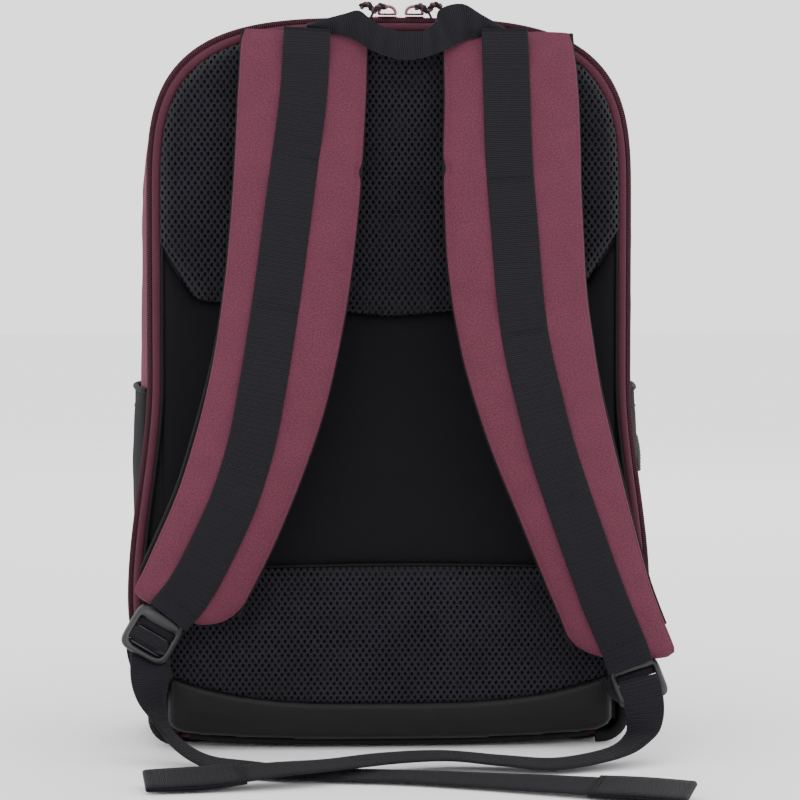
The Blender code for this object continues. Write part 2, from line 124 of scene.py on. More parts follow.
def make_studio():
    """A bright even sky, three soft lights and a pale floor."""
    world = bpy.data.worlds.new("studio")
    bpy.context.scene.world = world
    world.use_nodes = True
    sky = world.node_tree.nodes["Background"]
    sky.inputs["Color"].default_value = (1.0, 1.0, 1.0, 1.0)
    sky.inputs["Strength"].default_value = 1.9
    area_light("key", (-0.9, -2.3, 1.05), (0.0, -0.05, 0.24), (1.0, 1.0), 12.0)
    area_light("fill", (1.6, -1.7, 0.6), (0.0, -0.05, 0.24), (1.2, 1.2), 5.0)
    area_light("back", (0.4, 1.9, 1.3), (0.0, 0.0, 0.3), (1.4, 1.0), 10.0)
    bpy.ops.mesh.primitive_plane_add(size=12.0, location=(0.0, 0.0, -0.0004))
    floor = bpy.context.active_object
    floor.name = "floor"
    made = bpy.data.materials.new("floor_paint")
    made.use_nodes = True
    shader = made.node_tree.nodes["Principled BSDF"]
    shader.inputs["Base Color"].default_value = (0.93, 0.93, 0.93, 1.0)
    shader.inputs["Roughness"].default_value = 0.9
    floor.data.materials.append(made)


# ---------------------------------------------------------------- materials

class Nodes:
    """A short way to write a node tree: every call adds one node and returns its main output."""

    def __init__(self, name, **settings):
        self.material = bpy.data.materials.new(name)
        self.material.use_nodes = True
        self.tree = self.material.node_tree
        self.shader = self.tree.nodes["Principled BSDF"]
        for key, value in settings.items():
            self.shader.inputs[key.replace("_", " ")].default_value = value

    def put(self, value, socket):
        if isinstance(value, bpy.types.NodeSocket):
            self.tree.links.new(value, socket)
        else:
            socket.default_value = value

    def add(self, kind, **inputs):
        node = self.tree.nodes.new("ShaderNode" + kind)
        for name, value in inputs.items():
            self.put(value, node.inputs[name])
        return node

    def coords(self, which):
        return self.add("TexCoord").outputs[which]

    def mapped(self, vector, scale):
        return self.add("Mapping", Vector=vector, Scale=scale).outputs["Vector"]

    def noise(self, vector, scale, detail=3.0, rough=0.55):
        return self.add("TexNoise", Vector=vector, Scale=scale, Detail=detail, Roughness=rough).outputs["Fac"]

    def voronoi(self, vector, scale, feature="F1"):
        node = self.add("TexVoronoi", Vector=vector, Scale=scale)
        node.feature = feature
        return node.outputs["Distance"]

    def wave(self, vector, scale, direction="X", distort=0.0):
        node = self.add("TexWave", Vector=vector, Scale=scale, Distortion=distort, Detail=1.0)
        node.bands_direction = direction
        return node.outputs["Fac"]

    def maths(self, operation, a, b):
        node = self.add("Math")
        node.operation = operation
        self.put(a, node.inputs[0])
        self.put(b, node.inputs[1])
        return node.outputs[0]

    def ramp(self, value, stops):
        node = self.add("ValToRGB", Fac=value)
        for extra in stops[2:]:
            node.color_ramp.elements.new(extra[0])
        for element, (place, colour) in zip(node.color_ramp.elements, stops):
            element.position = place
            element.color = (*colour, 1.0)
        return node.outputs["Color"]

    def bump(self, height, strength, depth, base=None):
        node = self.add("Bump", Height=height, Strength=strength, Distance=depth)
        if base is not None:
            self.put(base, node.inputs["Normal"])
        return node.outputs["Normal"]

    def finish(self, colour, normal, rough=None):
        self.put(colour, self.shader.inputs["Base Color"])
        self.put(normal, self.shader.inputs["Normal"])
        if rough is not None:
            self.put(rough, self.shader.inputs["Roughness"])
        return self.material


def shade(colour, factor):
    return tuple(min(1.0, c * factor) for c in colour)


def woven(name, colour, pitch, depth=0.00012, mottle=0.16, sheen=0.35, rough=0.82, where="UV"):
    """Plain or twill cloth: crossing threads at a pitch in metres, with heathered colour."""
    n = Nodes(name, Roughness=rough, Sheen_Weight=sheen, Sheen_Roughness=0.45,
              Sheen_Tint=(*shade(colour, 2.2), 1.0), Specular_IOR_Level=0.22)
    base = n.coords(where)
    flip = (1.0, -1.0, 1.0) if where == "UV" else (1.0, 1.0, -1.0)
    one = n.wave(base, DIAGONAL_BANDS / pitch, "DIAGONAL", distort=0.3)
    two = n.wave(n.mapped(base, flip), DIAGONAL_BANDS / pitch, "DIAGONAL", distort=0.3)
    threads = n.maths("MULTIPLY", one, two)
    grain = n.noise(base, 0.62 / pitch, 1.0, 0.7)
    cloud = n.noise(base, 45.0, 4.0, 0.6)
    blend = n.maths("ADD", n.maths("MULTIPLY", grain, 0.66), n.maths("MULTIPLY", cloud, 0.16))
    blend = n.maths("ADD", blend, n.maths("MULTIPLY", threads, 0.18))
    tone = n.ramp(blend, [(0.26, shade(colour, 1.0 - mottle * 2.2)), (0.46, colour),
                          (0.60, shade(colour, 1.0 + mottle * 3.2))])
    normal = n.bump(threads, 0.55, depth)
    normal = n.bump(grain, 0.35, depth * 0.8, normal)
    return n.finish(tone, normal)


def ribbed(name, colour):
    """Flat webbing: ribs across the width, each broken into its threads."""
    n = Nodes(name, Roughness=0.66, Sheen_Weight=0.06, Sheen_Roughness=0.4, Specular_IOR_Level=0.16)
    base = n.coords("UV")
    ribs = n.wave(base, STRAIGHT_BANDS / RIB_PITCH, "Y")
    threads = n.wave(base, STRAIGHT_BANDS / WEB_THREAD, "X", distort=1.2)
    grain = n.noise(base, 1800.0, 2.0, 0.7)
    height = n.maths("ADD", n.maths("MULTIPLY", ribs, 0.7), n.maths("MULTIPLY", threads, 0.3))
    mix = n.maths("ADD", n.maths("MULTIPLY", grain, 0.6), n.maths("MULTIPLY", height, 0.4))
    tone = n.ramp(mix, [(0.40, shade(colour, 0.30)), (0.50, colour), (0.59, shade(colour, 4.5))])
    return n.finish(tone, n.bump(height, 0.9, 0.00030, n.bump(grain, 0.4, 0.0001)))


def knitted(name, colour):
    """Spacer mesh: a knit whose holes are real, so only its loops are drawn here, with tiny lighter spots as
    painted highlights.
    """
    n = Nodes(name, Roughness=0.80, Sheen_Weight=0.05, Specular_IOR_Level=0.10)
    base = n.coords("Object")
    loops = n.voronoi(base, 1500.0)
    cloud = n.noise(base, 40.0, 2.0)
    # Lighter near each voronoi point, as painted highlights on the loops, and darker between them
    tone = n.ramp(n.maths("ADD", n.maths("MULTIPLY", loops, 0.5), n.maths("MULTIPLY", cloud, 0.5)),
                  [(0.2, shade(colour, 1.35)), (0.5, colour), (0.8, shade(colour, 0.55))])
    return n.finish(tone, n.bump(loops, 0.5, 0.00015))


def leather(name, colour):
    """Coated trim: a pebbled grain with a soft, uneven shine."""
    n = Nodes(name, Roughness=0.46, Specular_IOR_Level=0.20)
    base = n.coords("Object")
    grain = n.voronoi(base, 950.0, "DISTANCE_TO_EDGE")
    fine = n.noise(base, 900.0, 4.0, 0.65)
    cloud = n.noise(base, 18.0, 3.0)
    tone = n.ramp(cloud, [(0.3, shade(colour, 0.75)), (0.55, colour), (0.8, shade(colour, 1.5))])
    rough = n.ramp(fine, [(0.3, (0.34,) * 3), (0.7, (0.52,) * 3)])
    return n.finish(tone, n.bump(grain, 0.3, 0.00012, n.bump(fine, 0.35, 0.0001)), rough)


def moulded(name, colour, rough=0.42, metallic=0.0, coat=0.0, grain_depth=0.00004):
    """Moulded plastic, painted metal or thread: one colour with a fine grain."""
    n = Nodes(name, Roughness=rough, Metallic=metallic, Coat_Weight=coat, Coat_Roughness=0.12,
              Specular_IOR_Level=0.5)
    base = n.coords("Object")
    fine = n.noise(base, 1400.0, 3.0)
    cloud = n.noise(base, 90.0, 3.0)
    tone = n.ramp(cloud, [(0.3, shade(colour, 0.8)), (0.6, colour), (0.85, shade(colour, 1.5))])
    value = n.ramp(cloud, [(0.3, (rough * 0.85,) * 3), (0.7, (rough * 1.2,) * 3)])
    return n.finish(tone, n.bump(fine, 0.3, grain_depth), value)


BURGUNDY = (0.084, 0.0185, 0.0345)
WINE = (0.050, 0.0100, 0.0200)

MATERIALS = {
    "burgundy_fabric": woven("burgundy_cloth", BURGUNDY, 0.00060),
    "burgundy_tape": woven("burgundy_tape", WINE, 0.00050, mottle=0.10, sheen=0.2, where="Object"),
    "burgundy_shell": woven("burgundy_shell", BURGUNDY, 0.00060, where="Object"),
    "black_fabric": woven("black_cloth", (0.0022, 0.0019, 0.0034), 0.00055, mottle=0.12, sheen=0.04,
                          rough=0.95, where="Object"),
    "black_binding": woven("black_binding", (0.0026, 0.0023, 0.0034), 0.0008, mottle=0.2, sheen=0.06,
                           rough=0.8, where="Object"),
    "black_mesh": knitted("black_knit", (0.0120, 0.0112, 0.0160)),
    # Near black: painted shade, seen through the spacer mesh's holes
    "hole_shade_core": moulded("hole_shade_core", (0.0008, 0.0007, 0.0010), 0.95),
    "black_webbing": ribbed("black_web", (0.0028, 0.0023, 0.0038)),
    "leather_trim": leather("trim_hide", (0.0016, 0.0014, 0.0022)),
    "black_plastic": moulded("acetal", (0.0036, 0.0033, 0.0048), 0.42),
    "painted_metal": moulded("wine_paint", (0.19, 0.034, 0.062), 0.26, 0.25, 0.7, 0.00002),
    "coil": moulded("wine_nylon", (0.060, 0.012, 0.024), 0.45),
    "lining": woven("grey_lining", (0.105, 0.105, 0.115), 0.0007, mottle=0.1, sheen=0.2, where="Object"),
    "stitch_wine": moulded("wine_thread", (0.062, 0.014, 0.026), 0.7),
    # Black thread, darker than the webbing: at the bar tacks this also paints the shade of the web's fold
    "stitch_black": moulded("black_thread", (0.0012, 0.0011, 0.0016), 0.9),
}


# ---------------------------------------------------------------- mesh helpers

def make_mesh(name, points, faces, material, uv=None, angle=40.0, fix_normals=True):
    """A smooth-shaded mesh piece with its slot set. uv is one (u, v) per point, in metres."""
    mesh = bpy.data.meshes.new(name)
    mesh.from_pydata([tuple(p) for p in points], [], [tuple(f) for f in faces])
    mesh.update()
    if fix_normals:
        work = bmesh.new()
        work.from_mesh(mesh)
        bmesh.ops.recalc_face_normals(work, faces=work.faces)
        work.to_mesh(mesh)
        work.free()
    mesh.shade_smooth()
    mesh.set_sharp_from_angle(angle=math.radians(angle))
    if uv is not None:
        layer = mesh.uv_layers.new(name="UVMap")
        index = np.empty(len(mesh.loops), np.int32)
        mesh.loops.foreach_get("vertex_index", index)
        layer.data.foreach_set("uv", np.asarray(uv, np.float32)[index].ravel())
    mesh.materials.append(MATERIALS[material])
    obj = bpy.data.objects.new(name, mesh)
    bpy.context.scene.collection.objects.link(obj)
    return obj


def distances(line):
    """How far along a line each of its points lies."""
    return np.concatenate([[0.0], np.cumsum(np.linalg.norm(np.diff(line, axis=0), axis=1))])


def at_depth(line, y):
    """An (x, z) line as points in space. y is one depth, or one for each point."""
    line = np.asarray(line, float)
    return np.column_stack([line[:, 0], np.zeros(len(line)) + y, line[:, 1]])


def smooth_route(points, steps):
    """Points on a smooth curve through the given rows, `steps` to each span."""
    rows = np.array(points, float)
    rows = np.vstack([2 * rows[0] - rows[1], rows, 2 * rows[-1] - rows[-2]])
    made = []
    for i in range(1, len(rows) - 2):
        for step in range(steps):
            t = step / steps
            a, b, c, d = rows[i - 1:i + 3]
            curve = 2 * b + (c - a) * t + (2 * a - 5 * b + 4 * c - d) * t * t
            made.append((curve + (3 * b - a - 3 * c + d) * t**3) / 2)
    made.append(rows[-2])
    return np.array(made)


def spaced_evenly(line, along, count):
    """The line again in count even spans, and how far along each new point lies."""
    at = np.linspace(0.0, along[-1], count + 1)
    return np.stack([np.interp(at, along, column) for column in line.T], axis=1), at


def even_route(points, spacing):
    """A smooth curve through the rows, with its points an even distance apart."""
    fine = smooth_route(points, 24)
    along = distances(fine[:, :3])
    return spaced_evenly(fine, along, max(2, int(round(along[-1] / spacing))))


def ring_faces(first, rings, size, joined=False):
    """Quads between successive rings of points. joined also ties the last ring to the first."""
    faces = []
    for ring in range(rings if joined else rings - 1):
        here = first + ring * size
        there = first + (ring + 1) % rings * size
        for k in range(size):
            nxt = (k + 1) % size
            faces.append((here + k, here + nxt, there + nxt, there + k))
    return faces


def capped_faces(rings, size):
    """The faces of a closed body made of rings, with a cap at each end."""
    return ring_faces(0, rings, size) + [tuple(range(size)), tuple(range(rings * size - size, rings * size))]


def normalised(rows):
    return rows / np.maximum(np.linalg.norm(rows, axis=-1, keepdims=True), 1e-12)


def tangents(route):
    return normalised(np.gradient(route, axis=0))


def frames(route, across):
    """Unit vectors at each point of a route: along it, across it, and out of it."""
    along = tangents(route)
    side = across - along * np.sum(across * along, axis=1, keepdims=True)
    side = normalised(side)
    return along, side, np.cross(along, side)


def swept(name, route, across, sections, material, skew=None):
    """A closed body along a route. sections is (rings, points, 2): across and out offsets for each ring."""
    along, side, out = frames(route, across)
    sections = np.asarray(sections, float)
    rings, size = sections.shape[:2]
    points = route[:, None, :] + side[:, None, :] * sections[..., :1] + out[:, None, :] * sections[..., 1:]
    if skew is not None:
        points = points + along[:, None, :] * (skew[:, None] * sections[..., 0])[..., None]
    uv = np.stack([sections[..., 0], np.broadcast_to(distances(route)[:, None], (rings, size))], axis=-1)
    return make_mesh(name, points.reshape(-1, 3), capped_faces(rings, size), material, uv.reshape(-1, 2))


def rounded_flat(width, thick):
    """A flat strip's outline (across, out) with round edges."""
    half, radius = width / 2 - thick / 2, thick / 2
    turn = np.linspace(-math.pi / 2, math.pi / 2, 5)
    edge = [(half + radius * math.cos(a), radius * math.sin(a)) for a in turn]
    face = [(half * x, radius) for x in np.linspace(1, -1, 7)[1:-1]]
    side = np.array(edge + face)
    return np.concatenate([side, -side])


def circle(radius, sides):
    angles = np.linspace(0, math.tau, sides, endpoint=False)
    return np.stack([np.cos(angles), np.sin(angles)], axis=1) * radius


# A direction that no round cord here runs along
TUBE_ACROSS = (0.31, 0.9, 0.3)


def tube_data(route, radius, sides):
    """Points and faces of a round tube along a route, with closed ends."""
    route = np.asarray(route, float)
    _, side, out = frames(route, np.tile(TUBE_ACROSS, (len(route), 1)))
    ring = circle(radius, sides)
    points = route[:, None, :] + side[:, None, :] * ring[None, :, :1] + out[:, None, :] * ring[None, :, 1:]
    return points.reshape(-1, 3), capped_faces(len(route), sides)


def joined_mesh(name, parts, material):
    """One piece from several (points, faces)."""
    points, faces, start = [], [], 0
    for some, more in parts:
        points.append(np.asarray(some, float))
        faces += [tuple(i + start for i in f) for f in more]
        start += len(some)
    return make_mesh(name, np.concatenate(points), faces, material)


def bead_shape():
    """A small rounded bar along X, one long and one thick, for teeth and stitches."""
    profile = [(-0.5, 0.0), (-0.46, 0.34), (-0.30, 0.5), (0.30, 0.5), (0.46, 0.34), (0.5, 0.0)]
    rings = [[(x, r * math.cos(a), r * math.sin(a)) for a in np.linspace(0, math.tau, 6, endpoint=False)]
             for x, r in profile[1:-1]]
    points = [(profile[0][0], 0.0, 0.0)] + [p for ring in rings for p in ring] + [(profile[-1][0], 0.0, 0.0)]
    faces = ring_faces(1, 4, 6)
    last = len(points) - 1
    faces += [(0, 1 + (k + 1) % 6, 1 + k) for k in range(6)]
    faces += [(last, last - 6 + k, last - 6 + (k + 1) % 6) for k in range(6)]
    return np.array(points), np.array([f if len(f) == 4 else (*f, f[-1]) for f in faces])


def beads(name, centres, long_way, up_way, length, width, height, material):
    """Many small bars: each lies along long_way and stands up along up_way."""
    shape, quads = bead_shape()
    centres = np.asarray(centres, float)
    a = normalised(np.asarray(long_way, float))
    b = np.asarray(up_way, float)
    b = normalised(b - a * np.sum(a * b, axis=1, keepdims=True))
    c = np.cross(a, b)
    points = (centres[:, None, :] + a[:, None, :] * (shape[None, :, :1] * length)
              + c[:, None, :] * (shape[None, :, 1:2] * width) + b[:, None, :] * (shape[None, :, 2:] * height))
    count = len(shape)
    faces = (quads[None] + (np.arange(len(centres)) * count)[:, None, None]).reshape(-1, 4)
    faces = [tuple(f[:3]) if f[2] == f[3] else tuple(f) for f in faces.tolist()]
    return make_mesh(name, points.reshape(-1, 3), faces, material, angle=60.0, fix_normals=False)


def stitches(name, route, out, material, length, gap, thick, lift=0.0001):
    """A row of thread dashes along a route, on the side that the direction `out` points to."""
    line, _ = even_route(route, length + gap)
    out = np.asarray(out, float)
    mids = (line[1:] + line[:-1]) / 2 + out * lift
    up = np.broadcast_to(out, mids.shape)
    return beads(name, mids, np.diff(line, axis=0), up, length, thick, thick, material)


def side_x(z, inset=0.0):
    """Half the shell's width at a height, drawn in at its round foot."""
    low = z - inset
    cut = 0.0
    if low < FOOT_RADIUS:
        cut = FOOT_RADIUS - math.sqrt(max(FOOT_RADIUS**2 - (FOOT_RADIUS - low) ** 2, 0.0))
    return HALF_WIDTH - inset - cut


def arch(inset):
    """Points (x, z) over the top, from left to right."""
    wide, tall = HALF_WIDTH - inset, HEIGHT - ARCH_START - inset
    points = []
    for k in range(ARCH_STEPS + 1):
        angle = math.pi * (1 - k / ARCH_STEPS)
        c, s = math.cos(angle), math.sin(angle)
        x = wide * math.copysign(abs(c) ** (2 / ARCH_POWER), c)
        points.append((x, ARCH_START + tall * max(s, 0.0) ** (2 / ARCH_POWER)))
    return points


def flare(z):
    """How far the rear edge leans out beyond the shell at a height, widest above the ladder locks."""
    rise = np.clip((FLARE_TOP - z) / (FLARE_TOP - FLARE_PEAK), 0.0, 1.0)
    fall = np.clip(z / FLARE_PEAK, 0.0, 1.0)
    return FLARE * (rise * rise * (3 - 2 * rise)) * (fall * fall * (3 - 2 * fall))


def open_outline(inset, low, lean=1.0):
    """(x, z) up the left side from a height, over the arch and down the right side. lean scales the flare."""
    heights = [low + (ARCH_START - low) * k / SIDE_STEPS for k in range(SIDE_STEPS)]
    side = [(side_x(z, inset) + lean * flare(z), z) for z in heights]
    return np.array([(-x, z) for x, z in side] + arch(inset) + side[::-1])


def resampled(line, spacing=None, count=None):
    """The polyline again with even spacing."""
    line = np.asarray(line, float)
    along = distances(line)
    return spaced_evenly(line, along, count or max(2, int(round(along[-1] / spacing))))[0]


def outward(line):
    """Level unit vectors that point out of an (x, z) outline, which runs from left to right over the top."""
    step = normalised(np.gradient(line, axis=0))
    return np.column_stack([-step[:, 1], np.zeros(len(line)), step[:, 0]])


def strip(name, line, across, width, thick, material, shift=0.0):
    """A flat strip along a line. across is one direction, or one for each point."""
    sections = np.repeat(rounded_flat(width, thick)[None] + [shift, 0.0], len(line), axis=0)
    return swept(name, line, np.broadcast_to(across, line.shape), sections, material)


def piped(name, line, radius, sides, material, body):
    """A round cord along a line, riding on a body."""
    cord = joined_mesh(name, [tube_data(line, radius, sides)], material)
    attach(cord, body)


make_camera()
make_studio()


# ---------------------------------------------------------------- straps and webbing

def strap_across(line):
    """Width directions level with the panel and square to the line, towards +X."""
    step = np.gradient(line, axis=0)
    return np.stack([-step[:, 2], np.zeros(len(line)), step[:, 0]], axis=1)


def by_height(z, rows):
    """A value read off listed (height, value) rows, which run from the top down."""
    heights, values = np.array(rows)[::-1].T
    return np.interp(z, heights, values)


def wobble(points, scale, seed, detail=3):
    """Smooth noise from -1 to 1 at each point."""
    shift = Vector((seed * 7.3, seed * 3.1, seed * 5.7))
    return np.array([noise.fractal(Vector(p) * scale + shift, 1.0, 2.0, detail) for p in points])


def end_cut(left, radius):
    """How far an edge has drawn in, a distance before a rounded end."""
    near = np.clip(1 - left / radius, 0.0, 1.0)
    return radius * (1 - np.sqrt(1 - near**2))


def bell(values, width):
    """1 at zero, falling away on both sides."""
    return np.exp(-((values / width) ** 2))


def pad_rings(line, at, widths, inner_side, thick):
    """Sections of a crowned shoulder pad: a soft face, thin edges, a lobe at the lower end and a notch."""
    total = at[-1]
    half = by_height(line[:, 2], widths) / 2
    inner = half - end_cut(total - at, 0.030)
    outer = half - end_cut(total - at, 0.006)
    low, high = (outer, inner) if inner_side > 0 else (inner, outer)
    spread = np.sin(np.linspace(-1, 1, 41) * math.pi / 2)
    crown = 0.34 + 0.66 * np.clip(1 - np.abs(spread) ** 2.6, 0, 1) ** 0.62
    groove = 0.055 * bell(np.abs(spread) - 0.945, 0.013)
    ease = 0.45 + 0.55 * np.clip(at / 0.03, 0, 1)
    ease *= 0.42 + 0.58 * np.sqrt(1 - np.clip(1 - (total - at) / 0.012, 0, 1) ** 2)
    grid_u, grid_s = np.broadcast_arrays(spread[None], at[:, None])
    where = np.stack([grid_u * 1.1, grid_s * 34, grid_s * 0], -1).reshape(-1, 3)
    soft = wobble(where, 1.0, 3 + inner_side).reshape(grid_s.shape)
    fine = wobble(where * [2.2, 2.6, 1.0], 1.0, 9 + inner_side, 4).reshape(grid_s.shape)
    crease = bell(grid_s - 0.055, 0.040) + 0.35
    lift = soft * 0.00050 + fine * 0.00032 * crease
    kink = bell(grid_s - NOTCH_AT, 0.005) * np.clip(inner_side * spread, 0, 1) ** 3
    lift = lift - 0.0016 * kink
    face = thick * (ease[:, None] * (crown - groove)[None, :] - 0.5) + lift
    across = spread * np.where(spread < 0, low[:, None], high[:, None])
    across = across - inner_side * 0.0014 * bell(at - NOTCH_AT, 0.004)[:, None] * (spread * inner_side > 0.9)
    back_spread = np.linspace(1, -1, 13)
    back_across = back_spread * np.where(back_spread < 0, low[:, None], high[:, None]) * 0.985
    back = np.full(back_across.shape, -thick / 2)
    return np.concatenate([np.stack([across, face], -1), np.stack([back_across, back], -1)], axis=1)


def web_rings(at, width, thick):
    """Sections of flat webbing whose cross ribs are raised. at says how far along each one lies."""
    ribs = 1 + 0.13 * np.sin(math.tau * at / RAISED_RIB_PITCH)
    sections = np.repeat(rounded_flat(width, thick)[None], len(at), axis=0)
    sections[..., 1] *= ribs[:, None]
    return sections


# A strap's route and its web run from the top down. widths and web are (height, width) and (height, x) rows,
# tacks are heights, and skew is how far the pad's end slants.
STRAPS = {
    "left": {
        "inner": 1,
        "route": [(-0.0535, -0.0865, 0.4515), (-0.0545, -0.0930, 0.4370), (-0.0560, -0.1010, 0.4080),
                  (-0.0600, -0.1120, 0.3470), (-0.0670, -0.1190, 0.2850), (-0.0790, -0.1210, 0.2240),
                  (-0.0990, -0.1180, 0.1620), (-0.1200, -0.1120, 0.1150), (-0.1335, -0.1070, 0.0875)],
        "widths": [(0.452, 0.078), (0.408, 0.079), (0.347, 0.078), (0.285, 0.076), (0.224, 0.073),
                   (0.162, 0.068), (0.115, 0.066), (0.092, 0.065)],
        "web": [(0.4530, -0.0525), (0.408, -0.0555), (0.347, -0.0640), (0.285, -0.0725), (0.224, -0.0825),
                (0.193, -0.0890), (0.162, -0.0990), (0.131, -0.1130), (0.106, -0.1265), (0.0895, -0.1395)],
        "tacks": (0.373, 0.281, 0.182, 0.098),
        "binding": 0.0016,
        "skew": 0.0,
    },
    "right": {
        "inner": -1,
        "route": [(0.0730, -0.0865, 0.4515), (0.0732, -0.0930, 0.4370), (0.0740, -0.1010, 0.4080),
                  (0.0740, -0.1120, 0.3470), (0.0780, -0.1190, 0.2850), (0.0900, -0.1210, 0.2240),
                  (0.1100, -0.1180, 0.1610), (0.1320, -0.1120, 0.0980), (0.1482, -0.1070, 0.0588)],
        "widths": [(0.452, 0.080), (0.430, 0.082), (0.378, 0.085), (0.316, 0.085), (0.254, 0.081),
                   (0.224, 0.077), (0.192, 0.073), (0.161, 0.068), (0.130, 0.064), (0.098, 0.060),
                   (0.070, 0.059)],
        "web": [(0.4530, 0.0700), (0.378, 0.0710), (0.316, 0.0750), (0.285, 0.0775), (0.254, 0.0820),
                (0.224, 0.0890), (0.192, 0.0975), (0.161, 0.1080), (0.130, 0.1190), (0.098, 0.1310),
                (0.070, 0.1430), (0.0560, 0.1480)],
        "tacks": (0.360, 0.266, 0.164, 0.072),
        "binding": 0.0006,
        "skew": 0.35,
    },
}
STRAP_THICK = 0.0110
SLANT_LENGTH = 0.050
NOTCH_AT = 0.088
WEB_WIDTH = 0.0290
WEB_THICK = 0.0016
WEB_STEP = 0.00040
TACK_STITCHES = 14
TAIL_WIDTH = 0.0250


def make_strap(side):
    """A padded strap with its mesh underside, bound edges and daisy-chain web."""
    facts = STRAPS[side]
    line, at = even_route(facts["route"], 0.0025)
    across = strap_across(line)
    rings = pad_rings(line, at, facts["widths"], facts["inner"], STRAP_THICK)
    skew = facts["skew"] * np.clip((at - at[-1]) / SLANT_LENGTH + 1, 0, 1) ** 1.5
    pad = swept(side + "_shoulder_pad", line, across, rings, "burgundy_fabric", skew=skew)
    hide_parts(side + "_strap_pad")

    half = by_height(line[:, 2], facts["widths"]) / 2
    flat = np.linspace(-1, 1, 9)[None] * (half[:, None] - 0.0035)
    under = np.stack([flat, np.full(flat.shape, -STRAP_THICK / 2 - 0.0004)], -1)
    under_back = under[:, ::-1].copy()
    under_back[..., 1] -= 0.0014
    mesh = swept(side + "_strap_lining", line[2:-8], across[2:-8],
                 np.concatenate([under, under_back], axis=1)[2:-8], "black_mesh")
    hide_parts(side + "_strap_mesh")

    along, wide, out = frames(line, across)
    edges = []
    for sign in (-1, 1):
        proud = facts["binding"] if sign != facts["inner"] else 0.0002
        show = by_height(line[:, 2], [(0.446, 0.0), (0.26, 0.0), (0.20, 1.0), (0.05, 1.0)])
        reach = half - 0.0006 + proud * show
        rope = line + wide * (sign * reach)[:, None] - out * (STRAP_THICK / 2 - 0.0012)
        rope = rope + along * (skew * sign * reach)[:, None]
        edges.append(tube_data(rope[:-7], 0.0015, 8))
    binding = joined_mesh(side + "_strap_binding", edges, "black_binding")

    rows = [(x, 0.0, z) for z, x in facts["web"]]
    run, run_at = even_route(rows, WEB_STEP)
    pad_y = by_height(run[:, 2], [(z, y) for _, y, z in facts["route"]])
    tacks = np.array(facts["tacks"])
    spans = np.abs(run[:, 2][:, None] - tacks[None]).min(axis=1)
    slack = 0.0011 * (1 - bell(spans, 0.012))
    run[:, 1] = pad_y - STRAP_THICK / 2 - 0.0006 - slack
    web = swept(side + "_daisy_web", run, strap_across(run), web_rings(run_at, WEB_WIDTH, WEB_THICK),
                "black_webbing")
    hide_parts(side + "_strap_web")

    bars = make_tacks(side, run, tacks)
    for piece in (pad, mesh, binding, web, bars):
        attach(piece, side + "_strap")


def make_tacks(side, run, tacks):
    """Bar tacks: two rows of slanting stitches across the web at each height. Their thread is black, and
    being darker than the web it is also painted shade of the fold at each tack.
    """
    _, web_side, web_out = frames(run, strap_across(run))
    up = np.array([0.0, 0.0, 1.0])
    centres, longs, ups = [], [], []
    for tack in tacks:
        k = int(np.abs(run[:, 2] - tack).argmin())
        for row, lean in ((-0.0006, 1), (0.0006, -1)):
            start = run[k] + web_out[k] * (WEB_THICK / 2 + 0.0001) + up * row
            for j, place in enumerate(np.linspace(-0.0125, 0.0125, TACK_STITCHES)):
                centres.append(start + web_side[k] * place)
                longs.append(web_side[k] * 0.7 + up * 0.75 * (lean if j % 2 else -lean))
                ups.append(web_out[k])
    return beads(side + "_bar_tacks", centres, longs, ups, 0.0022, 0.0005, 0.0005, "stitch_black")


# ---------------------------------------------------------------- adjuster webs

# A free web's rows are (x, y, z, turn, lean) from the lock down, with the width's two angles in degrees.
# lead takes the place of the first row, behind the lock. roll and pitch turn the lock, in degrees.
TAILS = {
    "left": {
        "rows": [(-0.1520, -0.1190, 0.0700, 0, -24), (-0.1510, -0.1205, 0.0500, 24, -12),
                 (-0.1465, -0.1235, 0.0320, 62, -5), (-0.1370, -0.1290, 0.0170, 84, 0),
                 (-0.1180, -0.1480, 0.0070, 82, 2), (-0.0900, -0.1680, 0.0044, 68, 8),
                 (-0.0500, -0.1830, 0.0036, 70, 5), (0.0000, -0.1930, 0.0036, 75, 5),
                 (0.0400, -0.2080, 0.0040, 68, 8), (0.0900, -0.2320, 0.0052, 66, 12),
                 (0.1330, -0.2530, 0.0058, 68, 14), (0.1630, -0.2650, 0.0058, 68, 14)],
        "lead": [(-0.1492, -0.1075, 0.0745, 0, -26), (-0.1508, -0.1110, 0.0625, 6, -22)],
        "length": 0.353, "exit": (-0.1465, -0.1190, 0.0450),
        "lock": (-0.1490, -0.1120, 0.0785), "roll": 31, "pitch": -8,
    },
    "right": {
        "rows": [(0.1545, -0.1290, 0.0390, 0, 18), (0.1545, -0.1325, 0.0275, -26, 8),
                 (0.1500, -0.1380, 0.0165, -54, 2), (0.1340, -0.1480, 0.0085, -74, -2),
                 (0.0980, -0.1610, 0.0044, -96, -5), (0.0650, -0.1580, 0.0060, -92, -4),
                 (0.0300, -0.1560, 0.0090, -76, -4), (-0.0050, -0.1680, 0.0100, -64, -4),
                 (-0.0400, -0.1880, 0.0100, -64, -4), (-0.0750, -0.2030, 0.0100, -72, -8),
                 (-0.1150, -0.2100, 0.0066, -84, -14), (-0.1500, -0.2140, 0.0060, -84, -14)],
        "lead": [(0.1530, -0.1130, 0.0490, 0, 14), (0.1542, -0.1225, 0.0425, -4, 16)],
        "length": 0.335, "exit": (0.1545, -0.1270, 0.0330),
        "lock": (0.1525, -0.1130, 0.0480), "roll": -18, "pitch": -40,
    },
}
HANG_ROWS = 2
TAIL_STEP = 0.00045
HEM_LENGTH = 0.058
HEM_GAP = 0.0012
LOCK_HALF_X = 0.0164
LOCK_HALF_Z = 0.0158
LOCK_BAR_RADIUS = 0.0011


def lean_across(rows):
    """Width directions from the rows' turn and lean."""
    turn, lean = np.radians(rows[:, 3]), np.radians(rows[:, 4])
    return np.stack([np.cos(turn) * np.cos(lean), np.sin(turn) * np.cos(lean), np.sin(lean)], axis=1)


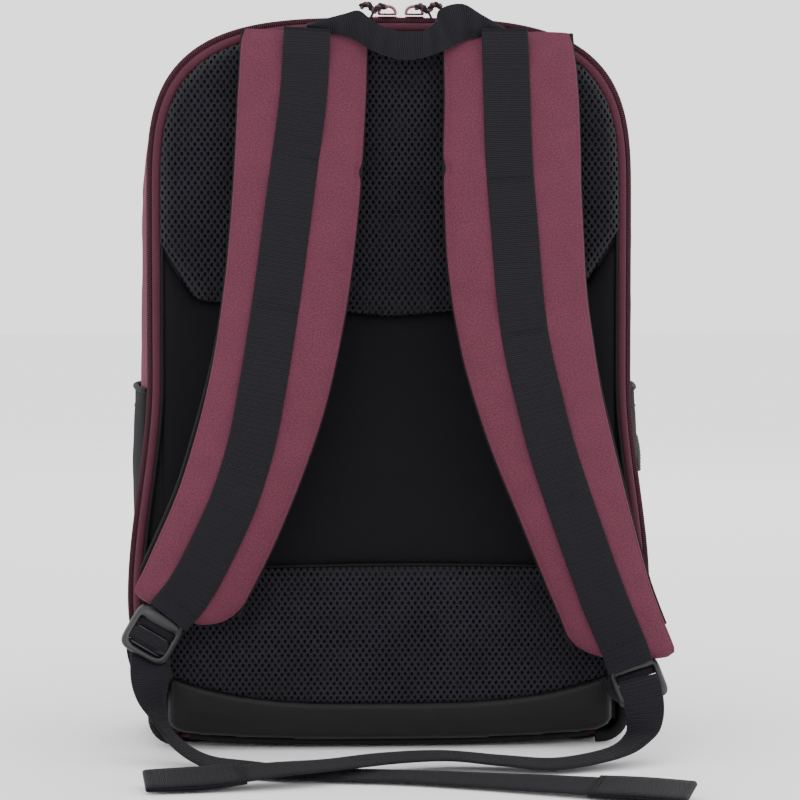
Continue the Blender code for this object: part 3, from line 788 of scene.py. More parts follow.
def make_tail(side):
    """The web below a lock: it hangs to the ground, lies across it and ends in a folded hem."""
    facts = TAILS[side]
    rows, at = even_route(facts["lead"] + facts["rows"][1:], TAIL_STEP)
    line, across = rows[:, :3], lean_across(rows)
    cut = int(np.argmin(np.linalg.norm(line - np.array(facts["rows"][HANG_ROWS][:3]), axis=1)))
    sections = web_rings(at, TAIL_WIDTH, WEB_THICK)
    down = swept(side + "_hanging_web", line[:cut + 1], across[:cut + 1], sections[:cut + 1], "black_webbing")
    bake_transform(down)
    free = swept(side + "_web_tail", line[cut:], across[cut:], sections[cut:], "black_webbing")
    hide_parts(side + "_tail")
    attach(free, "pack")

    hem, sewn = make_hem(side, line, across)


def make_hem(side, line, across):
    """The web's end, folded back on itself and sewn."""
    along, _, out = frames(line, across)
    reach = int(HEM_LENGTH / TAIL_STEP)
    fold, fold_across = line[-reach:], across[-reach:]
    up = out[-reach:] * np.sign(out[-1][2])
    spread = HEM_GAP + 0.0006 * np.sin(math.pi * np.arange(reach) / reach)
    nose = [line[-1] + along[-1] * 0.0016 * math.sin(a) + up[-1] * HEM_GAP * math.cos(a)
            for a in np.linspace(0, math.pi, 9)[1:-1]]
    loop = np.concatenate([fold + up * spread[:, None], nose, (fold - up * spread[:, None])[::-1]])
    loop_across = np.concatenate([fold_across, np.repeat(across[-1:], len(nose), 0), fold_across[::-1]])
    rings = web_rings(distances(loop), TAIL_WIDTH + 0.0006, 0.0013)
    hem = swept(side + "_web_hem", loop, loop_across, rings, "black_webbing")
    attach(hem, "pack")
    centres = [fold[k] + fold_across[0] * place + up[k] * 2 * HEM_GAP
               for k in (3, 9) for place in np.linspace(-0.0105, 0.0105, 13)]
    sewn = beads(side + "_hem_stitches", centres, [fold_across[0]] * len(centres), [up[0]] * len(centres),
                 0.0013, 0.0005, 0.0006, "stitch_black")
    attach(sewn, "pack")
    return hem, sewn


def make_anchor_web(side):
    """The short web from the foot of the back panel up to the lock's lower bar."""
    sign = -1 if side == "left" else 1
    low_bar = lock_frame(side) @ Vector((0.0, 0.0020, -0.0085))
    rows = [(sign * 0.1440, -0.0710, 0.0360, sign * -60, 0), (sign * 0.1470, -0.0830, 0.0400, sign * -44, 0),
            (low_bar.x - sign * 0.0010, low_bar.y + 0.0080, low_bar.z - 0.0060, sign * -12, 0),
            (low_bar.x, low_bar.y, low_bar.z, 0, sign * TAILS[side]["roll"])]
    rows, at = even_route(rows, TAIL_STEP)
    line = rows[:, :3]
    rings = web_rings(at, TAIL_WIDTH, WEB_THICK)
    web = swept(side + "_anchor_strip", line, lean_across(rows), rings, "black_webbing")
    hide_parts(side + "_anchor_web")
    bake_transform(web)


def lock_frame(side):
    """Where a ladder lock sits and how it is turned."""
    facts = TAILS[side]
    roll = Matrix.Rotation(math.radians(facts["roll"]), 4, "Y")
    pitch = Matrix.Rotation(math.radians(facts["pitch"]), 4, "X")
    return Matrix.Translation(facts["lock"]) @ roll @ pitch


def lock_ring(half_x, half_z):
    """A rounded square, as (x, z) around the buckle's middle."""
    angles = np.linspace(0, math.tau, 72, endpoint=False)
    c, s = np.cos(angles), np.sin(angles)
    return np.stack([half_x * np.sign(c) * np.abs(c) ** 0.42, half_z * np.sign(s) * np.abs(s) ** 0.42], 1)


def placed(seat, rows):
    return np.array([seat @ Vector(row) for row in rows])


def lock_rim(seat):
    """The buckle's frame: a broad moulded rim, thicker along its top, round a rectangular window."""
    rings = []
    profile = ((0.0, 0.0008), (0.0003, -0.0010), (0.0014, -0.0023), (0.0028, -0.0026), (0.0036, -0.0022),
               (0.0042, -0.0009), (0.0042, 0.0014), (0.0032, 0.0026), (0.0014, 0.0024))
    for inset, y in profile:
        ring = lock_ring(LOCK_HALF_X - inset, LOCK_HALF_Z - inset)
        broad = np.clip(lock_ring(LOCK_HALF_X, LOCK_HALF_Z)[:, 1] / LOCK_HALF_Z, 0, 1) ** 3
        ring[:, 1] -= broad * inset * 1.20
        bow = 0.0030 * (ring[:, 0] / LOCK_HALF_X) ** 2
        rings.append(np.column_stack([ring[:, 0], y + bow - 0.0006 * broad, ring[:, 1]]))
    return placed(seat, np.concatenate(rings)), ring_faces(0, len(rings), len(rings[0]), joined=True)


def lock_bar(seat, z, drop):
    """A bar across the window, flattened in front."""
    rows, steps, sides, radius = [], 14, 12, LOCK_BAR_RADIUS
    for k in range(steps + 1):
        t = -1 + 2 * k / steps
        for a in np.linspace(0, math.tau, sides, endpoint=False):
            rows.append((t * (LOCK_HALF_X - 0.003), drop + 0.0026 * t * t + radius * 0.7 * math.sin(a),
                         z + radius * math.cos(a)))
    return placed(seat, rows), capped_faces(steps + 1, sides)


def make_lock(side):
    """A ladder lock: a rounded rim with a broad top and two bars, and the web that runs over them."""
    seat = lock_frame(side)
    parts = [lock_rim(seat), lock_bar(seat, 0.0006, 0.0030), lock_bar(seat, -0.0098, 0.0020)]
    lock = joined_mesh(side + "_ladder_buckle", parts, "black_plastic")
    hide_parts(side + "_ladder_lock")
    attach(lock, side + "_lock")
    level = np.array(seat.to_3x3() @ Vector((1.0, 0.0, 0.0)))
    strips = {"upper": [(0.0052, 0.0135), (0.0034, 0.0110), (0.0018, 0.0085), (0.0010, 0.0050),
                        (0.0020, 0.0022)],
              "lower": [(0.0026, 0.0002), (-0.0008, -0.0010), (-0.0014, -0.0040), (-0.0010, -0.0068),
                        (0.0024, -0.0090)]}
    for name, profile in strips.items():
        line, at = even_route([tuple(seat @ Vector((0.0, y, z))) for y, z in profile], WEB_STEP)
        rings = web_rings(at, 0.0248, 0.0012)
        rings[..., 1] -= 0.10 * rings[..., 0] ** 2 / 0.0131
        across = np.tile(level, (len(line), 1))
        piece = swept(f"{side}_buckle_web_{name}", line, across, rings, "black_webbing")
        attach(piece, side + "_lock")


for strap_side in ("left", "right"):
    make_tail(strap_side)
for strap_side in ("left", "right"):
    make_strap(strap_side)
    make_anchor_web(strap_side)
    make_lock(strap_side)


# ---------------------------------------------------------------- back panel

PANEL_HALF = HALF_WIDTH - 0.0073
YOKE_EDGE = [(-PANEL_HALF, 0.320), (-0.122, 0.284), (-0.050, 0.279), (0.0, 0.274), (0.050, 0.278),
             (0.122, 0.292), (PANEL_HALF, 0.328)]
TRIM_HALF = 0.142
LUMBAR_TOP = 0.112
PAD_ROOT = -0.0688
BORDER_MIDDLE = 0.0056
HEX_POINTS = 12
TRIM_GROOVE = 0.0021
# The base trim's depth, rolled edge, puff and noise seed
TRIM_SHAPE = (0.0128, 0.0050, 0.0012, 10)


def lumbar_top(x):
    """The height of the lumbar pad's crowned upper edge."""
    return LUMBAR_TOP + 0.0035 * (1 - (x / PANEL_HALF) ** 2)


def trim_top(x):
    """The height of the base trim's upper edge, lowest in the middle."""
    return 0.032 + 0.019 * np.abs(x / TRIM_HALF) ** 3.2


def edge_distance(points, loop):
    """Distance from each (x, z) point to a closed loop, positive inside it."""
    start, end = loop, np.roll(loop, -1, axis=0)
    step = end - start
    best = np.full(len(points), 1e9)
    inside = np.zeros(len(points), bool)
    for a, b, d in zip(start, end, step):
        t = np.clip(((points - a) @ d) / max(d @ d, 1e-12), 0, 1)
        best = np.minimum(best, np.hypot(*(points - a - t[:, None] * d).T))
        crosses = (a[1] > points[:, 1]) != (b[1] > points[:, 1])
        if a[1] != b[1]:
            inside ^= crosses & (points[:, 0] < a[0] + (points[:, 1] - a[1]) / (b[1] - a[1]) * d[0])
    return np.where(inside, best, -best)


def eased(line, spacing=0.003, rounds=3):
    """An open line with its corners slightly rounded."""
    line = resampled(line, spacing)
    for _ in range(rounds):
        line[1:-1] = (line[:-2] + 2 * line[1:-1] + line[2:]) / 4
    return line


def yoke_loop():
    """The mesh yoke's outline: the arch above, and a given lower edge."""
    top = np.array([(x, z) for x, z in arch(0.0073) if z > ARCH_START + 0.001])
    bottom = eased([(x, z) for x, z in reversed(YOKE_EDGE)])
    return np.concatenate([top, [(PANEL_HALF, ARCH_START)], bottom, [(-PANEL_HALF, ARCH_START)]])


def lumbar_loop():
    """The lumbar pad's outline, whose foot goes under the base trim."""
    xs = np.linspace(-PANEL_HALF, PANEL_HALF, 41)
    top = [(x, lumbar_top(x)) for x in xs]
    foot = [(x, float(trim_top(np.clip(x, -TRIM_HALF, TRIM_HALF))) - 0.007) for x in xs[::-1]]
    return np.array(top + foot)


def middle_loop():
    """The plain panel's outline, between the yoke and the lumbar pad."""
    top = [(x, z - 0.0010) for x, z in eased(YOKE_EDGE)]
    xs = np.linspace(PANEL_HALF, -PANEL_HALF, 41)
    return np.array(top + [(x, lumbar_top(x) + 0.0010) for x in xs])


def trim_loop():
    """The base trim's outline."""
    xs = np.linspace(-TRIM_HALF, TRIM_HALF, 61)
    right = [(TRIM_HALF, 0.0180), (0.136, 0.0118), (0.118, 0.0085), (0.050, 0.0052)]
    foot = smooth_route(right + [(-x, z) for x, z in reversed(right)], 5)
    return np.array([(x, trim_top(x)) for x in xs] + [tuple(p) for p in foot])


def pad_face(points, loop, depth, roll, puff, seed, crease=0.0006):
    """How far each (x, z) point of a stuffed panel stands out, and how far inside the loop it lies."""
    inside = edge_distance(points, loop)
    near = np.clip(inside / roll, 0.0, 1.0)
    rise = depth * np.sqrt(np.clip(1 - (1 - near) ** 2, 0, 1))
    swell = puff * (1 - np.exp(-np.clip(inside, 0, None) / 0.030))
    waves = wobble(np.column_stack([points, np.zeros(len(points))]), 22.0, seed)
    return rise + swell + waves * crease * near, inside


def hexagon():
    """Corners and edge middles of one knit cell, which tiles at the hole pitches."""
    tip = (HOLE_PITCH_Z**2 + (HOLE_PITCH_X / 2) ** 2) / (2 * HOLE_PITCH_Z)
    side = tip - HOLE_PITCH_X**2 / (4 * HOLE_PITCH_Z)
    half = HOLE_PITCH_X / 2
    corners = np.array([(half, side), (0, tip), (-half, side), (-half, -side), (0, -tip), (half, -side)])
    outline = np.empty((HEX_POINTS, 2))
    outline[0::2] = corners
    outline[1::2] = (corners + np.roll(corners, -1, axis=0)) / 2
    return outline


def cell_centres(loop):
    """Staggered knit cells over a loop's box, kept where they lie inside the loop."""
    low, high = loop.min(axis=0) - 0.004, loop.max(axis=0) + 0.004
    rows = np.arange(int((high[1] - low[1]) / HOLE_PITCH_Z))
    columns = np.arange(int((high[0] - low[0]) / HOLE_PITCH_X))
    col, row = np.meshgrid(columns, rows)
    centres = np.stack([low[0] + (col + 0.5 * (row % 2)) * HOLE_PITCH_X, low[1] + row * HOLE_PITCH_Z], -1)
    centres = centres.reshape(-1, 2)
    return centres[edge_distance(centres, loop) > -0.0016]


def spacer_mesh(name, loop, depth, roll, puff, seed, hole):
    """Knitted spacer cloth: staggered cells, each a hexagon with an oval hole pushed into it."""
    centres, outline = cell_centres(loop), hexagon()
    angles = np.arctan2(outline[:, 1] / hole[1], outline[:, 0] / hole[0])
    oval = np.stack([np.cos(angles) * hole[0] / 2, np.sin(angles) * hole[1] / 2], 1)
    place = np.column_stack([centres, np.zeros(len(centres))])
    wander = 0.00020 * np.stack([wobble(place, 300.0, s, 1) for s in (31, 32)], 1)
    rings = [(outline, 0 * wander, 0.00004), (outline * 0.42 + oval * 0.72, wander * 0.5, 0.00016),
             (oval, wander, -0.00012), (oval * 0.90, wander, -0.00140)]
    flat = [((centres + shift)[:, None] + shape[None]).reshape(-1, 2) for shape, shift, _ in rings]
    flat = np.concatenate(flat)
    count = len(centres) * HEX_POINTS
    extra = np.repeat([height for _, _, height in rings], count)
    face, inside = pad_face(flat, loop, depth, roll, puff, seed)
    extra = np.where(inside < 0, np.minimum(extra, 0.0), extra)

    # Neighbouring cells share the points of their common edge
    keys = np.round(flat[:count] / 1e-5).astype(np.int64)
    _, first, same = np.unique(keys, axis=0, return_index=True, return_inverse=True)
    index = np.concatenate([first[same.reshape(-1)], np.arange(count, len(flat))])
    cell = np.arange(len(centres))[:, None] * HEX_POINTS
    here = cell + np.arange(HEX_POINTS)
    after = cell + (np.arange(HEX_POINTS) + 1) % HEX_POINTS
    quads = np.stack([here, after, after + count, here + count], -1).reshape(-1, 4)
    faces = np.concatenate([index[quads + level * count] for level in range(len(rings) - 1)])
    used, compact = np.unique(faces, return_inverse=True)
    points = at_depth(flat, PAD_ROOT - face - extra)[used]
    return make_mesh(name, points, compact.reshape(-1, 4)[:, ::-1].tolist(), "black_mesh", angle=75,
                     fix_normals=False)


def stuffed(name, loop, depth, roll, puff, seed, material, step=0.0022, crease=0.0006, extra=None):
    """A smooth stuffed panel over a loop: a fine grid whose rim follows the loop exactly."""
    rim = resampled(np.vstack([loop, loop[:1]]), step)[:-1]
    low, high = loop.min(axis=0), loop.max(axis=0)
    xs, zs = np.arange(low[0], high[0], step), np.arange(low[1], high[1], step)
    grid = np.stack(np.meshgrid(xs, zs), -1).reshape(-1, 2)
    grid = grid[edge_distance(grid, loop) > step * 0.55]
    count = len(rim)
    edges = [(k, (k + 1) % count) for k in range(count)]
    seeds = [Vector(p) for p in np.concatenate([rim, grid])]
    points, _, faces, *_ = delaunay_2d_cdt(seeds, edges, [], 1, 1e-7)
    flat = np.array([tuple(p) for p in points])
    face, inside = pad_face(flat, loop, depth, roll, puff, seed, crease)
    if extra is not None:
        face = face + extra(flat, inside)
    faces = [tuple(f) for f in faces]

    # A wall round the rim reaches back to the panel's root
    rim_edges = dict.fromkeys((a, b) for f in faces for a, b in zip(f, f[1:] + f[:1]))
    border = [(a, b) for a, b in rim_edges if (b, a) not in rim_edges]
    used = sorted({a for edge in border for a in edge})
    place = {a: len(flat) + k for k, a in enumerate(used)}
    walls = [(b, a, place[a], place[b]) for a, b in border]
    points = np.concatenate([at_depth(flat, PAD_ROOT - face), at_depth(flat[used], PAD_ROOT)])
    return make_mesh(name, points, faces + walls, material, np.concatenate([flat, flat[used]]), angle=60)


def gather(flat, inside):
    """The spacer cloth is drawn together where it rolls over the yoke's lower edge."""
    near = bell(np.clip(inside, 0, None), 0.006) * (flat[:, 1] < 0.335)
    return 0.0004 * near * np.sin(flat[:, 0] * 900)


def pulls(flat, inside):
    """Faint drag lines across the plain panel."""
    span = wobble(np.column_stack([flat * [6, 60], np.zeros(len(flat))]), 1.0, 12)
    return 0.00035 * span * np.clip(inside / 0.02, 0, 1)


def lip(_, inside):
    """A thin welt along the trim's edge, with a groove for its stitches."""
    return 0.0005 * bell(inside - 0.0006, 0.0007) - 0.0004 * bell(inside - TRIM_GROOVE, 0.0004)


def make_pads():
    """The yoke, lumbar pad, middle panel and base trim. Each knit lies over a near-black core, whose colour
    is painted shade in the knit's holes.
    """
    yoke, lumbar, trim = yoke_loop(), lumbar_loop(), trim_loop()
    core = stuffed("yoke_foam", yoke, 0.0105, 0.009, 0.0015, 4, "hole_shade_core", step=0.004, extra=gather)
    knit = spacer_mesh("yoke_spacer_mesh", yoke, 0.0122, 0.009, 0.0020, 4, (0.0019, 0.0030))
    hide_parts("upper_mesh_pad")
    pieces = [core, knit]
    core = stuffed("lumbar_foam", lumbar, 0.0095, 0.009, 0.0015, 6, "hole_shade_core", step=0.004)
    knit = spacer_mesh("lumbar_spacer_mesh", lumbar, 0.0112, 0.009, 0.0020, 6, (0.0020, 0.0028))
    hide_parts("lumbar_pad")
    pieces += [core, knit]
    centre = stuffed("middle_cloth", middle_loop(), 0.0055, 0.010, 0.0022, 8, "black_fabric", extra=pulls)
    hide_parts("middle_panel")
    hide = stuffed("trim_hide", trim, *TRIM_SHAPE, "leather_trim", step=0.0016, crease=0.0005, extra=lip)
    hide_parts("base_trim")
    pieces += [centre, hide]

    xs = np.linspace(-TRIM_HALF + 0.003, TRIM_HALF - 0.003, 90)
    groove = np.column_stack([xs, trim_top(xs) - TRIM_GROOVE])
    face, _ = pad_face(groove, trim, *TRIM_SHAPE, 0.0005)
    row = at_depth(groove, PAD_ROOT - face - 0.0001)
    pieces.append(stitches("trim_stitches", row, (0, -1, 0), "stitch_black", 0.0020, 0.0011, 0.0005))
    for piece in pieces:
        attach(piece, "back_panel")


def make_edges():
    """The back panel's edge: piping over the lumbar pad, a black flange and welt, and the burgundy border."""
    xs = np.linspace(-PANEL_HALF, PANEL_HALF, 60)
    seam = at_depth(np.column_stack([xs, lumbar_top(xs) + 0.0008]), PAD_ROOT - 0.0022)
    piped("lumbar_piping", seam, 0.0011, 8, "black_binding", "back_panel")
    edge = resampled(open_outline(0.0090, 0.045), 0.004)
    piped("panel_welt", at_depth(edge, PAD_ROOT - 0.0044), 0.0010, 10, "black_binding", "back_panel")
    edge = resampled(open_outline(0.0148, 0.046), 0.005)
    line = at_depth(edge, PAD_ROOT - 0.0012)
    flange = strip("panel_flange", line, outward(edge), 0.0125, 0.0010, "black_binding")
    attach(flange, "back_panel")

    run = resampled(open_outline(BORDER_MIDDLE, 0.046), 0.0030)
    line = at_depth(run, PANEL_ROOT + 0.001)
    shape = np.array([(-0.0029, 0.0), (-0.0029, 0.0030), (-0.0026, 0.0046), (-0.0017, 0.0055),
                      (-0.0004, 0.0058), (0.0010, 0.0055), (0.0021, 0.0044), (0.0027, 0.0030),
                      (0.0030, 0.0014), (0.0030, 0.0)])
    sections = np.repeat(shape[None], len(run), axis=0)
    sections[..., 1] *= 1 + 0.05 * wobble(np.column_stack([run, np.zeros(len(run))]), 30.0, 15)[:, None]
    _, _, facing = frames(line, outward(run))
    sections[..., 1] *= np.sign(-facing[len(facing) // 2][1])
    border = swept("panel_edge_band", line, outward(run), sections, "burgundy_tape")
    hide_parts("panel_border")
    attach(border, "back_panel")


make_pads()
make_edges()


# ---------------------------------------------------------------- zips

MAIN_ZIP_Y = 0.0370
BACKWARD = (0.0, -1.0, 0.0)
FORWARD = (0.0, 1.0, 0.0)


def zip_run(name, outline, y, out_lift, facing, tape_width, tape_shift=0.0):
    """A closed coil zip along an outline: a woven tape with a row of coil teeth. It faces out or back."""
    run = resampled(outline, TOOTH_PITCH)
    line, away = at_depth(run, y), outward(run)
    up, wide = away, np.tile(FORWARD, (len(run), 1))
    if facing == "back":
        up, wide = np.tile(BACKWARD, (len(run), 1)), away
    lie = wide * 0.9 + tangents(line) * 0.35
    teeth = beads(name + "_coil", line + up * out_lift, lie, up, 0.0031, 0.00042, 0.0014, "coil")
    thin = resampled(outline, 0.004)
    side = outward(thin) if facing == "back" else FORWARD
    tape = strip(name + "_tape", at_depth(thin, y), side, tape_width, 0.0009, "burgundy_tape", tape_shift)
    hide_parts(name)
    for piece in (teeth, tape):
        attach(piece, "pack")


def make_gusset():
    """The tape that joins the rear zip to the shell round its sides and top."""
    edge = resampled(open_outline(0.0012, 0.016), 0.004)
    line = at_depth(edge, SHELL_BACK + 0.0024)
    gusset = strip("rear_zip_gusset", line, FORWARD, 0.0118, 0.0010, "burgundy_tape")
    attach(gusset, "pack")


zip_run("rear_zip", open_outline(0.0007, 0.052), SHELL_BACK - 0.0036, 0.0009, "back", 0.0074, -0.0020)
make_gusset()
zip_run("main_zip", open_outline(-0.0014, 0.110, 0.0), MAIN_ZIP_Y, 0.0004, "out", 0.0110)
for lip_name, lip_shift in (("front", 0.0040), ("rear", -0.0040)):
    lip_line = at_depth(resampled(open_outline(-0.0018, 0.110, 0.0), 0.004), MAIN_ZIP_Y + lip_shift)
    piped(f"main_zip_{lip_name}_fold", lip_line, 0.0013, 8, "burgundy_shell", "pack")


# ---------------------------------------------------------------- shell and pockets

CLOTH_FRAMES = 20
SHELL_FOOT = 0.0045


def closed_outline(inset):
    """The shell's whole outline at an inset, with round lower corners, as even points (x, z)."""
    foot = SHELL_FOOT + inset
    flat = HALF_WIDTH - inset - FOOT_RADIUS
    left = [(-(flat + FOOT_RADIUS * math.sin(a)), foot + FOOT_RADIUS * (1 - math.cos(a)))
            for a in np.radians(range(0, 91, 10))]
    loop = left + arch(inset) + [(-x, z) for x, z in reversed(left)]
    return resampled(loop + loop[:1], count=260)[:-1]


def puffed(solid, voxel, pressure, cap, held):
    """Remeshes a closed form and swells it by simulation, by at most cap. held picks the fixed points."""
    bpy.context.view_layer.objects.active = solid
    remesh = solid.modifiers.new("remesh", "REMESH")
    remesh.mode = "VOXEL"
    remesh.voxel_size = voxel
    apply_modifiers(solid)
    start = points_of(solid.data)
    group = solid.vertex_groups.new(name="held")
    group.add([int(i) for i in np.nonzero(held(start))[0]], 1.0, "REPLACE")
    cloth = solid.modifiers.new("cloth", "CLOTH")
    cloth.settings.use_pressure = True
    cloth.settings.uniform_pressure_force = pressure
    cloth.settings.vertex_group_mass = "held"
    cloth.settings.tension_stiffness = 12
    cloth.settings.bending_stiffness = 0.6
    cloth.settings.effector_weights.gravity = 0.0
    cloth.settings.quality = 5
    cloth.point_cache.frame_end = CLOTH_FRAMES
    scene = bpy.context.scene
    for frame_now in range(1, CLOTH_FRAMES + 1):
        scene.frame_set(frame_now)
    graph = bpy.context.evaluated_depsgraph_get()
    moved = points_of(solid.evaluated_get(graph).to_mesh())
    solid.modifiers.remove(cloth)
    scene.frame_set(1)
    step = moved - start
    far = np.linalg.norm(step, axis=1, keepdims=True)
    write_points(solid, start + step * np.minimum(1.0, cap / np.maximum(far, 1e-9)))
    solid.vertex_groups.clear()


def apply_modifiers(obj):
    graph = bpy.context.evaluated_depsgraph_get()
    made = bpy.data.meshes.new_from_object(obj.evaluated_get(graph))
    old = obj.data
    obj.modifiers.clear()
    obj.data = made
    bpy.data.meshes.remove(old)


def points_of(mesh, what="co"):
    """Each vertex's place, or another of its vectors, as rows."""
    rows = np.empty(len(mesh.vertices) * 3, np.float32)
    mesh.vertices.foreach_get(what, rows)
    return rows.reshape(-1, 3).astype(float)


def write_points(obj, points):
    obj.data.vertices.foreach_set("co", points.astype(np.float32).ravel())
    obj.data.update()


def softened(obj):
    """Rounds a remeshed form and refines it."""
    relax = obj.modifiers.new("relax", "SMOOTH")
    relax.iterations = 4
    relax.factor = 0.5
    fine = obj.modifiers.new("fine", "SUBSURF")
    fine.levels = 1
    fine.render_levels = 1
    apply_modifiers(obj)
    obj.data.shade_smooth()


def lofted(name, loops):
    """A closed cloth form through a row of loops."""
    faces = capped_faces(len(loops), len(loops[0]))
    return make_mesh(name, np.concatenate(loops), faces, "burgundy_shell")


def shell_form():
    """The bag's outer form as a closed loft from its back edge to its rounded front."""
    rings = [(0.0, SHELL_BACK), (0.0, -0.045), (0.0, -0.02), (0.0, 0.005), (0.0, 0.030), (0.0008, 0.046),
             (0.0035, 0.055), (0.0085, 0.0605), (0.016, 0.0630), (0.045, 0.0635), (0.085, 0.0635)]
    loops = []
    for inset, y in rings:
        loop = closed_outline(inset)
        depth = (y - SHELL_BACK) / (SHELL_FRONT - SHELL_BACK)
        swell = 0.0022 * math.sin(math.pi * depth) if inset < 0.01 else 0.0
        tall = np.clip(loop[:, 1] / HEIGHT, 0, 1)
        loop[:, 0] += np.sign(loop[:, 0]) * swell * (1 - 0.5 * tall)
        loops.append(at_depth(loop, y))
    return lofted("shell_cloth", loops)


def open_back(obj, limit):
    """Removes the flat faces across the back, so that the compartment is open behind the panel."""
    work = bmesh.new()
    work.from_mesh(obj.data)
    gone = [f for f in work.faces if f.normal.y < -0.75 and f.calc_center_median().y < limit]
    bmesh.ops.delete(work, geom=gone, context="FACES")
    work.to_mesh(obj.data)
    work.free()


def lined(obj, thick, lining):
    """Gives a cloth form its inner side, in another material."""
    obj.data.materials.append(MATERIALS[lining])
    wall = obj.modifiers.new("wall", "SOLIDIFY")
    wall.thickness = thick
    wall.offset = -1.0
    wall.material_offset = 1
    wall.material_offset_rim = 0
    apply_modifiers(obj)
    obj.data.shade_smooth()


def make_shell():
    """The burgundy body: swollen cloth with low folds, open behind the back panel and lined in grey."""
    shell = shell_form()
    puffed(shell, 0.005, 1.6, 0.0040, lambda p: (p[:, 1] < -0.050) | (p[:, 2] < 0.010))
    softened(shell)
    points = points_of(shell.data)
    folds = 0.0012 * wobble(points, 9.0, 21) + 0.0005 * wobble(points * [1.0, 0.5, 1.0], 30.0, 22)
    free = np.clip((points[:, 1] + 0.058) / 0.03, 0, 1)
    points += points_of(shell.data, "normal") * (folds * free)[:, None]
    write_points(shell, points)
    open_back(shell, SHELL_BACK + 0.006)
    lined(shell, 0.0022, "lining")
    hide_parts("left_side_panel", "right_side_panel", "top_gusset", "front_panel")
    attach(shell, "pack")


def rounded_rect(x0, x1, z0, z1, radius, steps=8):
    """A rectangle's outline with round corners."""
    points = []
    for x, z, start in ((x0, z0, 180), (x1, z0, 270), (x1, z1, 0), (x0, z1, 90)):
        cx = x0 + radius if x == x0 else x1 - radius
        cz = z0 + radius if z == z0 else z1 - radius
        for k in range(steps + 1):
            angle = math.radians(start + 90 * k / steps)
            points.append((cx + radius * math.cos(angle), cz + radius * math.sin(angle)))
    return np.array(points)


POCKET_BOX = (-0.1235, 0.1235, 0.0225, 0.2875)
POCKET_RADIUS = 0.028


def pocket_outline(inset, radius):
    """The front pocket's outline at an inset."""
    x0, x1, z0, z1 = POCKET_BOX
    return rounded_rect(x0 + inset, x1 - inset, z0 + inset, z1 - inset, radius)


def make_front_pocket():
    """A swollen pocket on the front, piped round its seam."""
    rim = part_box("front_pocket")[0].y
    rings = [(0.0, 0.0), (0.0005, 0.009), (0.004, 0.0155), (0.011, 0.0190), (0.030, 0.0205), (0.060, 0.0210)]
    loops = []
    for inset, depth in rings:
        outline = pocket_outline(inset, max(POCKET_RADIUS - inset * 0.4, 0.010))
        loops.append(at_depth(resampled(outline, count=200), rim + depth))
    pocket = lofted("front_pocket_cloth", loops)
    puffed(pocket, 0.0045, 3.0, 0.0075, lambda p: p[:, 1] < rim + 0.004)
    softened(pocket)
    points = points_of(pocket.data)
    points[:, 1] += 0.0009 * wobble(points, 16.0, 41) * np.clip((points[:, 1] - rim) / 0.01, 0, 1)
    write_points(pocket, points)
    open_back(pocket, rim + 0.004)
    lined(pocket, 0.0018, "lining")
    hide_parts("front_pocket")
    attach(pocket, "pack")
    welt = at_depth(resampled(pocket_outline(-0.0005, POCKET_RADIUS), 0.004), rim + 0.0012)
    piped("front_pocket_piping", welt, 0.0018, 10, "burgundy_shell", "pack")


def make_pocket_zip():
    """The front pocket's zip: coil, tape and two folds of cloth."""
    low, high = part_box("front_pocket_zip")
    y, mid = low.y, (low.z + high.z) / 2
    xs = np.arange(low.x + 0.004, high.x - 0.004, TOOTH_PITCH)
    centres = np.array([(x, y + 0.0022, mid) for x in xs])
    lie, up = np.tile([0.35, 0.0, 0.9], (len(xs), 1)), np.tile(FORWARD, (len(xs), 1))
    coil = beads("front_pocket_coil", centres, lie, up, 0.0034, 0.00085, 0.0014, "coil")
    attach(coil, "pack")
    line = np.array([(x, y + 0.0008, mid) for x in np.linspace(low.x, high.x, 60)])
    tape = strip("front_pocket_tape", line, (0.0, 0.0, 1.0), 0.0105, 0.0014, "burgundy_tape")
    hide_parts("front_pocket_zip")
    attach(tape, "pack")
    for shift, name in ((0.0062, "upper"), (-0.0062, "lower")):
        piped(f"front_pocket_{name}_fold", line + [0, 0.0012, shift], 0.0016, 8, "burgundy_shell", "pack")


SIDE_ROWS = 34
SIDE_COLUMNS = 33


def side_faces():
    """Quads of two layers of a grid, joined round their edge."""
    wide, total = SIDE_COLUMNS, SIDE_ROWS * SIDE_COLUMNS
    faces = []
    for a in (r * wide + c for r in range(SIDE_ROWS - 1) for c in range(wide - 1)):
        faces.append((a, a + 1, a + wide + 1, a + wide))
        faces.append((total + a, total + a + wide, total + a + wide + 1, total + a + 1))
    for a in (start + c for c in range(wide - 1) for start in (0, total - wide)):
        faces.append((a, a + 1, total + a + 1, total + a))
    for a in (r * wide + c for r in range(SIDE_ROWS - 1) for c in (0, wide - 1)):
        faces.append((a, a + wide, total + a + wide, total + a))
    return faces


